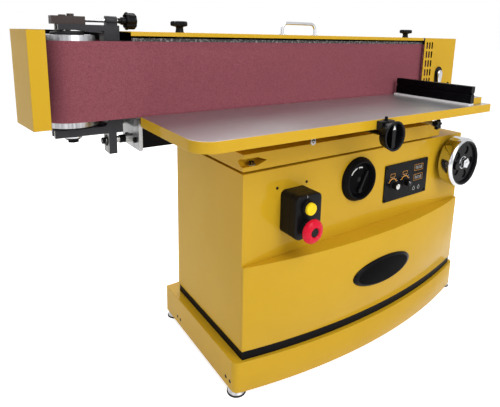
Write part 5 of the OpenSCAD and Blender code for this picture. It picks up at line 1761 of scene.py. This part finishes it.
@dataclass
class Table(Assembly):
    """Ground table with a painted rim on its painted carriage, with the lock and clamp knobs."""

    bolt_at: Point = (41.4 * MM, 17 * MM, 14 * MM)
    bolt_turn: float = 14.0
    bolt_head: Profile = mm((9.2, 0), (9.2, 9.8), (8.28, 11))
    bolt_edge: float = 0.5 * MM
    washer: Profile = mm((13.5, 0), (13.5, 1.6), (12.6, 2.2), (6, 2.2))
    pointer: Profile = mm((-6.5, 20), (6.5, 20), (0, 34))
    pointer_in: float = 6 * MM
    pointer_t: float = 0.5 * MM
    pin: Profile = mm((7, 0), (7, 3), (5, 3.4), (5, 12), (4.2, 13), (0, 13.2))
    pin_back: float = 9 * MM
    wall: float = 14 * MM
    pocket_w: float = 92 * MM
    pocket_d: float = 34 * MM
    pocket_h: float = 26 * MM
    cheek: float = 40 * MM
    cheek_share: float = 0.88
    side_cheek_share: float = 0.45
    side_notch_share: float = 0.12
    side_depth_share: float = 0.2
    flange_h: float = 54 * MM
    eye_at: float = 366 * MM
    eye_back: float = 4 * MM
    eye_in: float = 4 * MM
    eye_out: float = 9 * MM
    eye_t: float = 3 * MM
    eye_stem_share: float = 1.7
    eye_stem_steps: int = 4
    star_l: float = 26 * MM
    star_points: int = 6
    star_turn: float = 12.0
    star_dent_share: float = 0.42
    star_shares: Levels = ((0.4, -0.1, 0), (0.44, 0.3, 0), (0.7, 0.36, 0.7), (0.96, 0.44, 1), (1.0, 0.6, 1),
                           (0.98, 0.84, 1), (0.86, 0.97, 0.8), (0.5, 1.0, 0.2), (0.3, 0.93, 0))
    rod_r: float = 5.8 * MM
    rod_shares: Profile = ((1.0, -0.2), (1.7, -0.18), (1.7, 0.0))
    thin_edge: float = 0.4 * MM
    ground_depth: float = 2 * MM
    # Lift of the painted shade's lower edge over the carriage's flange.
    shade_line_lift: float = 1 * MM

    def build(self) -> None:
        """Makes the pocket with its bolt, the lock's marks, the rim's eye and the clamp's grip."""
        self.bolt()
        self.lock()
        self.pocket()
        self.eye()
        self.clamp()

    def bolt(self) -> None:
        """Makes the bolt and the washer in the carriage's pocket."""
        place = Face.TOP.at(low("table_carriage") + Vector(self.bolt_at), self.bolt_turn)
        head = Shape().revolve(self.bolt_head, Round.HEXAGON)
        head.piece("pocket_bolt", place, BLACK_ENAMEL, "table", "black_paint", self.bolt_edge)
        washer = Shape().revolve(self.washer, Round.STOUT)
        washer.piece("pocket_washer", place, STEEL, "table", "steel")

    def lock(self) -> None:
        """Makes the lock knob's printed pointer and its index pin on the bracket."""
        knob = middle("lock_knob")
        wedge = Shape().plate(self.pointer, 0, self.pointer_t)
        place = Face.FRONT.at((knob.x, low("lock_knob").y + self.pointer_in, knob.z))
        wedge.piece("lock_pointer", place, WHITE_INK_AND_HIGHLIGHT, "lock_knob", "black_plastic")
        spot = (knob.x, low("lock_bracket").y + self.pin_back, high("lock_bracket").z)
        pin = Shape().revolve(self.pin, Round.FAIR)
        pin.piece("index_pin", Face.TOP.at(spot), BLACK_ENAMEL, "table", "black_paint")

    def pocket(self) -> None:
        """Makes the two cheeks that taper the bolt pocket to its ends."""
        near = low("table_carriage")
        w, d, h = self.pocket_w, self.pocket_d, self.pocket_h
        foot = near.z + self.wall
        reach = w - self.cheek
        notch = [(reach, 0), (w, 0), (w, h), (reach, h), (reach + self.cheek * self.cheek_share, h / 2)]
        place = Face.FRONT.at((near.x, near.y + d, foot))
        Shape().plate(notch, 0, d).piece("pocket_cheek_front", place, YELLOW, "table", "yellow_paint")
        back = d * self.side_cheek_share
        side = [(-d, 0), (back - d, 0), (back * self.side_notch_share - d, h / 2), (back - d, h), (-d, h)]
        depth = w * self.side_depth_share
        place = Face.LEFT.at((near.x + depth, near.y, foot))
        Shape().plate(side, 0, depth).piece("pocket_cheek_side", place, YELLOW, "table", "yellow_paint")

    def eye(self) -> None:
        """Makes the small bright eye that hangs under the rim, and its stem."""
        rim = low("table_top")
        bore, out, t = self.eye_in, self.eye_out, self.eye_t
        x, y = rim.x + self.eye_at, rim.y + self.eye_back
        ring = Shape().collar([(bore, 0), (out, 0), (out, t), (bore, t)], Round.SMALL)
        ring.piece("rim_eye", Face.FRONT.at((x, y, rim.z - out)), STEEL, "table", "steel")
        stem = Shape().plate(rounded(out * self.eye_stem_share, out, bore / 3, self.eye_stem_steps), 0, t)
        place = Face.FRONT.at((x, y, rim.z - out / 2 + t / 4))
        stem.piece("rim_eye_stem", place, STEEL, "table", "steel", self.thin_edge)

    def clamp(self) -> None:
        """Makes the star grip of the table clamp and its bright rod."""
        knob, size = middle("clamp_knob"), span("clamp_knob")
        r, length = size.x / 2, self.star_l
        place = Face.FRONT.at((knob.x, low("clamp_knob").y + length, knob.z), self.star_turn)
        star = Shape().lobed(ringed(self.star_shares, r, length, r * self.star_dent_share), self.star_points)
        star.piece("clamp_star", place, BLACK_PLASTIC, "clamp_knob", "black_plastic", smooth=Crease.MOULDED,
                   replaces="clamp_knob")
        profile = [(self.rod_r, length - size.y), *scaled(self.rod_shares, self.rod_r, length)]
        rod = Shape().revolve(profile, Round.SMALL)
        rod.piece("clamp_rod", place, STEEL, "clamp_knob", "steel", self.thin_edge)

    def dress(self) -> None:
        """Paints the carriage with painted shade under the table, grinds the top, and dresses the lift's
        parts and the lock.
        """
        level = high("table_top").z - self.ground_depth
        top = Wardrobe.shared(GROUND_IRON, YELLOW, Mask.TOP, (level,))
        # Above the flange the carriage gets the darker yellow: painted shade under the table's overhang.
        level = low("table_carriage").z + self.flange_h + self.shade_line_lift
        carriage = Wardrobe.shared(PAINTED_SHADE_YELLOW, YELLOW, Mask.ABOVE, (level,))
        for row in (("table_top", top, Edge.CAST), ("table_carriage", carriage, Edge.BENT),
                    ("lift_screws", ALLOY), ("guide_posts", ROUND_STEEL),
                    ("lock_bracket", BLACK_CASTING, Edge.CAST), ("lock_knob", GLOSS_BLACK, Edge.CAST)):
            Wardrobe.dress(*row)


@dataclass
class Fence(Assembly):
    """Black slotted extrusion on a bright strip, with its bracket and knob."""

    screw_head: Profile = mm((5.5, -0.5), (5.5, 5), (4.7, 5.8), (3.19, 5.8), (2.75, 2.5), (0, 2.5))
    screw_along: float = 28 * MM
    screw_in: float = 14 * MM
    bracket_t: float = 26 * MM
    ground_level: float = 20 * MM

    def build(self) -> None:
        """Makes the bracket's two socket screws."""
        near, far = low("fence_bracket"), high("fence_bracket")
        for index, y in enumerate((near.y + self.screw_in, far.y - self.screw_in)):
            screw = Shape().revolve(self.screw_head, Round.SMALL)
            place = Face.TOP.at((near.x + self.screw_along, y, near.z + self.bracket_t))
            screw.piece(f"bracket_screw_{index}", place, BLACK_ENAMEL, "fence", "black_paint")

    def dress(self) -> None:
        """Dresses the fence's solids."""
        level = low("fence_bracket").z + self.ground_level
        bracket = Wardrobe.shared(STEEL, YELLOW, Mask.TOP, (level,))
        for row in (("fence_rail", ANODISED, Edge.FOLDED), ("fence_strip", PALE_PLASTIC, Edge.TRIMMED),
                    ("fence_bracket", bracket, Edge.CAST), ("fence_knob", CHROME, Edge.CAST)):
            Wardrobe.dress(*row)


@dataclass
class Head(Assembly):
    """Beam, platen, belt, covers, handle and the two cover knobs.

    The knob's rings give a share of the radius, a height in millimetres and a share of the dent. The plug
    pairs a share of the radius with a height in millimetres.
    """

    knob_h: float = 36 * MM
    knob_turn: float = 10.0
    knob_lobes: int = 5
    knob_dent: float = 9 * MM
    knob_rings: Levels = ((0.5, 0.2, 0), (0.44, 4, 0), (0.4, 15, 0), (0.48, 18, 0.1), (0.86, 20, 0.8),
                          (0.97, 21.5, 1), (1.0, 25, 1), (1.0, 30, 1), (0.96, 33.8, 0.95), (0.86, 35.6, 0.85),
                          (0.6, 36, 0.3), (0.46, 35.2, 0), (0.3, 34.6, 0))
    plug: Profile = ((0.3, 34), (0.3, 35.4), (0.24, 36), (0, 36.1))
    stud: Profile = mm((5, -18.5), (5, 1))
    stud_edge: float = 0.4 * MM
    cover_gap: float = 0.6 * MM

    def build(self) -> None:
        """Makes the moulded cover knobs."""
        for node in ("cover_knob_left", "cover_knob_right"):
            self.knob(node)

    def knob(self, node: str) -> None:
        """Makes a lobed cover knob with a dished top, a plug and a stud.

        Args:
            node: The solid that it stands for.
        """
        r = span(node).y / 2
        spot = (middle(node).x, middle(node).y, high(node).z - self.knob_h)
        place = Face.TOP.at(spot, self.knob_turn)
        grip = Shape().lobed(ringed(self.knob_rings, r, MM, self.knob_dent), self.knob_lobes)
        grip.piece(node + "_grip", place, BLACK_PLASTIC, node, "black_plastic", smooth=Crease.MOULDED,
                   replaces=node)
        plug = Shape().revolve(scaled(self.plug, r, MM), Round.FAIR)
        plug.piece(node + "_plug", place, GLOSS_BLACK, node, "black_plastic")
        stud = Shape().revolve(self.stud, Round.TINY)
        stud.piece(node + "_stud", place, STEEL, node, "steel", self.stud_edge)

    def dress(self) -> None:
        """Dresses the head's solids; the rear cover's inner front is black as painted shade."""
        # The rear cover is black in front of the beam's back: painted shade inside the head.
        inside = high("head_beam").y + self.cover_gap
        cover = Wardrobe.shared(BLACK_ENAMEL, YELLOW, Mask.FRONT, (inside,))
        for row in (("head_pedestals", YELLOW, Edge.FOLDED), ("top_cover", YELLOW, Edge.FOLDED),
                    ("rear_cover", cover, Edge.FOLDED), ("head_beam", BLACK_ENAMEL, Edge.ROLLED),
                    ("end_plate", STEEL, Edge.FOLDED), ("guide_rods", STEEL),
                    ("platen", MOTTLED, Edge.TRIMMED), ("platen_frame", GREY_CASTING, Edge.CAST),
                    ("sanding_belt", MAROON_GRIT), ("pull_handle", CHROME)):
            Wardrobe.dress(*row)


@dataclass
class IdlerEnd(Assembly):
    """Open idler end: yoke, drum, shaft, tracking block, nut, knob and the end guard.

    The washer, cup, nut and lug ring pair a share of their radius with a height in millimetres.
    """

    flutes: int = 8
    flute_share: float = 0.13
    grip_points: int = 128
    grip_l: float = 30 * MM
    grip_shares: Levels = ((0.2, -0.8, 0), (0.3, -0.76, 0), (0.34, -0.5, 0), (0.44, -0.46, 0),
                           (0.46, -0.1, 0), (0.52, 0.16, 0), (0.72, 0.2, 0), (0.8, 0.02, 0.5),
                           (0.9, -0.06, 0.8), (1.0, 0.02, 1), (1.0, 0.2, 1), (0.93, 0.26, 1), (0.93, 0.8, 1),
                           (0.9, 0.94, 1), (0.8, 1.0, 0.6), (0.4, 0.97, 0))
    screw_r: float = 5 * MM
    thick_r: float = 7 * MM
    screw_start: float = 13 * MM
    screw_end: float = 21.6 * MM
    nut_gap: float = 2 * MM
    nut_step: float = 1 * MM
    under: float = 20 * MM
    under_turn: float = 20.0
    washer_r: float = 27 * MM
    washer: Profile = ((0.4, 0), (0.97, 0), (1.0, -1), (1.0, -4), (0.96, -5), (0.4, -5))
    cup: Profile = ((0.9, -4.8), (0.92, -6.5), (0.76, -11), (0.5, -12.5), (0.4, -12.5))
    nut_head: Profile = ((0.62, -12), (0.62, -18.6), (0.54, -20.4))
    cast_edge: float = 0.6 * MM
    leg_w: float = 44 * MM
    rod_r: float = 10 * MM
    rod_rise: float = 38.3 * MM
    lug: Profile = ((1.15, 0), (1.75, 0), (1.75, 1.2), (1.6, 2), (1.2, 1))
    rod_cap: Profile = mm((10.4, 4.2), (10.4, 13.4), (9, 14.6), (5, 14.8), (4.5, 12), (0, 12))
    sleeve: Profile = mm((10.2, 0), (13, 0), (13, 17), (12, 18), (10.2, 18))
    spacer_l: float = 22 * MM
    bolt_off: float = 40 * MM
    bolt_head: Profile = mm((9, -0.5), (9, 6.3), (7.92, 7.2), (5.4, 7.2), (4.68, 2.7), (0, 2.7))
    arm_t: float = 16 * MM
    web_h: float = 9 * MM
    web_l: float = 70 * MM
    cap_r: float = 46 * MM
    cap_h: float = 10.5 * MM
    cap_bore: float = 19 * MM
    cap_shares: Profile = ((1.0, 0.0), (1.0, 0.5), (0.94, 0.7), (0.7, 0.76), (0.66, 1.0))
    guard_front: float = 1 * MM

    def build(self) -> None:
        """Makes the tracking knob, the shaft's washer and nut, the rod's fittings, the web and the caps."""
        self.tracking()
        self.nut()
        self.rod()
        self.web()
        self.bearing()

    def tracking(self) -> None:
        """Makes the fluted tracking knob with its hollow back, and its bright screw."""
        near, size = low("tracking_knob"), span("tracking_knob")
        r, disc = size.y / 2, size.x - self.grip_l
        place = Face.RIGHT.at((near.x, middle("tracking_knob").y, middle("tracking_knob").z))
        nut = low("tracking_nut").x - near.x - self.nut_gap
        profile = [(self.thick_r, self.screw_start), (self.thick_r, nut), (self.screw_r, nut + self.nut_step),
                   (self.screw_r, disc - self.screw_end)]
        screw = Shape().revolve(profile, Round.SMALL)
        screw.piece("tracking_screw", place, ROUND_STEEL, "tracking_knob", "steel")
        rings = ringed(self.grip_shares, r, self.grip_l, r * self.flute_share, disc)
        grip = Shape().lobed(rings, self.flutes, self.grip_points)
        grip.piece("tracking_grip", place, BLACK_PLASTIC, "tracking_knob", "black_plastic",
                   smooth=Crease.FLUTED, replaces="tracking_knob")

    def nut(self) -> None:
        """Makes the wide washer, the dished cup and the nut under the lower arm."""
        shaft = middle("idler_shaft")
        place = Face.TOP.at((shaft.x, shaft.y, low("idler_shaft").z + self.under), self.under_turn)
        washer = Shape().revolve(scaled(self.washer, self.washer_r, MM))
        washer.piece("idler_washer", place, CHROME, "idler_carriage", "steel")
        cup = Shape().revolve(scaled(self.cup, self.washer_r, MM))
        cup.piece("idler_cup", place, BLACK_ENAMEL, "idler_carriage", "black_paint")
        head = Shape().revolve(scaled(self.nut_head, self.washer_r, MM), Round.HEXAGON)
        head.piece("idler_nut", place, BLACK_ENAMEL, "idler_carriage", "black_paint", self.cast_edge)

    def rod(self) -> None:
        """Makes the lower guide rod's lug ring, end cap and sleeve, and the end plate's socket screws."""
        plate = low("end_plate")
        y, z = middle("idler_yoke").y, low("idler_yoke").z + self.rod_rise
        leg = Face.LEFT.at((high("idler_yoke").x - self.leg_w, y, z))
        ring = Shape().collar(scaled(self.lug, self.rod_r, MM))
        ring.piece("lug_ring", leg, BLACK_ENAMEL, "idler_carriage", "black_paint")
        cap = Shape().revolve(self.rod_cap, Round.STOUT)
        cap.piece("rod_cap", leg, BLACK_ENAMEL, "base", "black_paint")
        sleeve = Shape().collar(self.sleeve, Round.STOUT)
        place = Face.LEFT.at((plate.x - self.spacer_l, y, z))
        sleeve.piece("rod_sleeve", place, BLACK_ENAMEL, "base", "black_paint")
        for index, side in enumerate((-1, 1)):
            screw = Shape().revolve(self.bolt_head, Round.SMALL)
            place = Face.LEFT.at((plate.x, y + side * self.bolt_off, z))
            screw.piece(f"plate_screw_{index}", place, BLACK_ENAMEL, "base", "black_paint")

    def web(self) -> None:
        """Makes the web that deepens the upper arm towards the leg."""
        far, depth = high("idler_yoke"), span("idler_yoke").y
        leg = far.x - self.leg_w
        foot = far.z - self.arm_t
        side = [(leg - self.web_l, foot), (leg, foot - self.web_h), (leg, foot)]
        web = Shape().plate(side, 0, depth)
        place = Face.FRONT.at((0, far.y, 0))
        web.piece("yoke_web", place, DARK_CASTING, "idler_carriage", "black_paint", self.cast_edge)

    def bearing(self) -> None:
        """Makes the black bearing caps on the drum's two ends."""
        drum = middle("idler_drum")
        outside = scaled(self.cap_shares, self.cap_r, self.cap_h)
        profile = [(self.cap_bore, 0), *outside, (self.cap_bore, self.cap_h)]
        top, foot = high("idler_drum").z, low("idler_drum").z
        flip = Matrix.Rotation(math.pi, 4, "X")
        for name, z, turn in (("upper", top, Matrix()), ("lower", foot, flip)):
            place = Face.TOP.at((drum.x, drum.y, z)) @ turn
            Shape().collar(profile).piece(f"bearing_cap_{name}", place, BLACK_CASTING, "idler", "black_paint")

    def dress(self) -> None:
        """Dresses the idler end's solids; the end guard's inner faces and undersides are black as painted
        shade.
        """
        edge = high("idler_yoke").x - self.leg_w / 2
        yoke = Wardrobe.shared(DULL_STEEL, DARK_CASTING, Mask.LEFT, (edge,))
        level = low("idler_shaft").z + self.under
        shaft = Wardrobe.shared(ROUND_STEEL, BLACK_ENAMEL, Mask.ABOVE, (level,))
        # Black on the end guard's inner faces and undersides is painted shade.
        shell = (1.0, middle("end_guard").y, low("end_guard").y - self.guard_front)
        guard = Wardrobe.shared(BLACK_ENAMEL, YELLOW, Mask.SHELL, shell)
        for row in (("idler_yoke", yoke, Edge.BENT), ("tracking_block", BROWN_CASTING, Edge.CAST),
                    ("tracking_nut", DARK_CASTING, Edge.FACED), ("idler_shaft", shaft, Edge.FILED),
                    ("idler_drum", BRIGHT, Edge.CAST), ("end_guard", guard, Edge.FOLDED)):
            Wardrobe.dress(*row)


@dataclass
class DriveEnd(Assembly):
    """Motor, drive drum, dust collar and the vented end cover with its latch."""

    rim_w: float = 56 * MM
    rim_h: float = 88 * MM
    rim_levels: Profile = mm((0, -0.6), (0, 0.8), (1, 1.8), (4, 1.8), (5, 0.4))
    rim_corner_gap: float = 0.1 * MM
    rim_corner_steps: int = 10
    rim_down: float = 8 * MM
    head_r: float = 18 * MM
    head_up: float = 14 * MM
    tear_points: int = 60
    waist_share: float = 0.45
    tear_shares: Profile = ((0.3, 0.55), (0.94, 0.57), (1.0, 0.66), (1.0, 0.8), (0.9, 0.93), (0.68, 0.99),
                            (0.3, 1.0))
    latch_plate: float = 2.8 * MM

    def build(self) -> None:
        """Makes the rim round the latch's recess, and the lever."""
        def outline(inset: float) -> list[Flat]:
            """The rim's outline at an inset."""
            w, h = self.rim_w - 2 * inset, self.rim_h - 2 * inset
            return rounded(w, h, w / 2 - self.rim_corner_gap, self.rim_corner_steps)

        rim = Shape().stack(outline, self.rim_levels)
        spot = (middle("latch_lever").x, low("end_cover").y, high("latch_lever").z - self.rim_down)
        rim.piece("latch_rim", Face.FRONT.at(spot), GLOSS_BLACK, "end_cover", "black_plastic",
                  smooth=Crease.FLUTED)
        self.lever()

    def lever(self) -> None:
        """Makes the teardrop lever of the latch with its domed head."""
        size = span("latch_lever")
        drop = size.z - size.x / 2
        x, y = back_of("latch_lever")[:2]
        place = Face.FRONT.at((x, y, low("latch_lever").z + drop + self.head_up))
        tear = self.tear(drop)
        rings = [[(share * a, share * b, rise * size.y) for a, b in tear] for share, rise in self.tear_shares]
        Shape().loft(rings).piece("latch_tear", place, CHROME, "latch_lever", "chrome", smooth=Crease.MOULDED,
                                  replaces="latch_lever")

    def tear(self, drop: float) -> list[Flat]:
        """Outline of a teardrop that hangs from its round head.

        Args:
            drop: Depth of the tip under the head's middle.

        Returns:
            The outline.
        """
        outline = []
        for x, y in ring_of(self.head_r, self.tear_points):
            under = max(0.0, -y / self.head_r)
            outline.append((x * (1.0 - self.waist_share * under), y * (1.0 - under) - drop * under))
        return outline

    def dress(self) -> None:
        """Dresses the drive end's solids; the end cover's inner faces and undersides, seen through its vents,
        are black as painted shade.
        """
        # Black on the end cover's inner faces and undersides is painted shade; the latch plate proud of its
        # front is black plastic.
        shell = (-1.0, middle("end_cover").y, low("end_cover").y + self.latch_plate)
        cover = Wardrobe.shared(BLACK_PLASTIC, YELLOW, Mask.SHELL, shell)
        for row in (("end_cover", cover, Edge.TRIMMED), ("motor_plate", GREY_CASTING, Edge.CAST),
                    ("motor_body", GREY_CASTING, Edge.FOLDED), ("motor_fan_cover", BLACK_ENAMEL, Edge.SPUN),
                    ("drive_drum", RUBBER, Edge.SPUN), ("drive_shaft", ROUND_STEEL),
                    ("dust_port", BLACK_PLASTIC, Edge.FOLDED)):
            Wardrobe.dress(*row)


@dataclass(frozen=True)
class SoftBox:
    """A square lamp that looks at the part."""

    name: str
    place: Point
    size: float
    power: float
    mirrored: bool = True

    def hang(self, target: Vector) -> None:
        """Hangs the lamp.

        Args:
            target: The point that it looks at.
        """
        data = bpy.data.lights.new(self.name, "AREA")
        data.size = self.size
        data.energy = self.power
        made = bpy.data.objects.new(self.name, data)
        made.location = self.place
        made.rotation_euler = (target - Vector(self.place)).to_track_quat("-Z", "Y").to_euler()
        made.visible_glossy = self.mirrored
        bpy.context.scene.collection.objects.link(made)


@dataclass
class Studio:
    """Pale floor, soft lights and the camera at the photograph's place."""

    eye: Point = (-1.12115, -1.2231, 1.1766)
    right: Point = (0.8158, -0.5778, 0.0250)
    up: Point = (0.0923, 0.1725, 0.9806)
    ahead: Point = (0.5709, 0.7977, -0.1941)
    sensor: float = 36.0
    lens: float = 31.67
    shift: Flat = (-0.0266, -0.168)
    far_clip: float = 100.0
    target: Point = (0.0, 0.0, 0.75)
    boxes: tuple[SoftBox, ...] = (
        SoftBox("key", (-0.2, -3.0, 3.1), 2.2, 84.0),
        SoftBox("front", (0.5, -3.6, 1.5), 1.6, 12.0),
        SoftBox("fill", (-3.4, -1.4, 1.9), 2.0, 8.0),
        SoftBox("top", (0.0, -0.4, 3.8), 3.0, 44.0, mirrored=False),
        SoftBox("rim", (0.2, 2.6, 3.2), 3.0, 90.0),
    )
    floor_half: float = 40.0
    floor_colour: Colour = (0.86, 0.86, 0.86)
    floor_drift: Colour = (0.82, 0.82, 0.83)
    floor_drift_scale: float = 0.8
    floor_drift_share: float = 0.3
    floor_rough: float = 0.7
    floor_shine: float = 0.2
    floor_glow: float = 0.22
    floor_seen: float = 0.75
    sky_light: float = 0.3
    sky_seen: float = 1.0

    def build(self) -> None:
        """Makes the camera, the floor, the sky and the lights."""
        self.camera()
        self.floor()
        self.sky()
        for box in self.boxes:
            box.hang(Vector(self.target))

    def camera(self) -> None:
        """Places the camera."""
        data = bpy.data.cameras.new("camera")
        data.sensor_width = self.sensor
        data.lens = self.lens
        data.shift_x, data.shift_y = self.shift
        data.clip_end = self.far_clip
        made = bpy.data.objects.new("camera", data)
        rows = [Vector(self.right), Vector(self.up), -Vector(self.ahead)]
        made.matrix_world = Matrix.Translation(Vector(self.eye)) @ Matrix(rows).transposed().to_4x4()
        bpy.context.scene.collection.objects.link(made)
        bpy.context.scene.camera = made

    def floor(self) -> None:
        """Lays a pale floor that glows a little, so that it reads white and keeps a soft shadow."""
        half = self.floor_half
        mesh = bpy.data.meshes.new("floor")
        points = [(-half, -half, 0), (half, -half, 0), (half, half, 0), (-half, half, 0)]
        mesh.from_pydata(points, [], [(0, 1, 2, 3)])
        graph = Graph(bpy.data.materials.new("pale_floor"))
        drift = graph.noise(self.floor_drift_scale, Octaves.PLAIN) * self.floor_drift_share
        colour = graph.mix(drift, self.floor_colour, self.floor_drift)
        glow = graph.mix(graph.seen(), (self.floor_glow,) * 3, (self.floor_seen,) * 3)
        fixed = {"Roughness": self.floor_rough, "Specular IOR Level": self.floor_shine,
                 "Emission Strength": 1.0}
        mesh.materials.append(graph.surface(fixed, {"Base Color": colour, "Emission Color": glow}))
        made = bpy.data.objects.new("floor", mesh)
        bpy.context.scene.collection.objects.link(made)

    def sky(self) -> None:
        """Lights the surroundings evenly, white where they are seen or mirrored."""
        world = bpy.data.worlds.new("studio")
        bpy.context.scene.world = world
        graph = Graph(world)
        levels = {"Value": graph.seen(), "To Min": self.sky_light, "To Max": self.sky_seen}
        graph.background(WHITE, graph.node("ShaderNodeMapRange", {}, levels))


def main() -> None:
    """Builds and dresses each sub-assembly in order."""
    logging.basicConfig(level=logging.INFO, format="%(name)s: %(message)s")
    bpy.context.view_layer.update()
    bpy.context.scene.view_settings.view_transform = "Standard"
    for assembly in (Cabinet(), SwitchBox(), ControlPanel(), Dial(), Handwheel(), Table(), Fence(), Head(),
                     IdlerEnd(), DriveEnd()):
        assembly.build()
        assembly.dress()
    Studio().build()


if __name__ == "__main__":
    main()
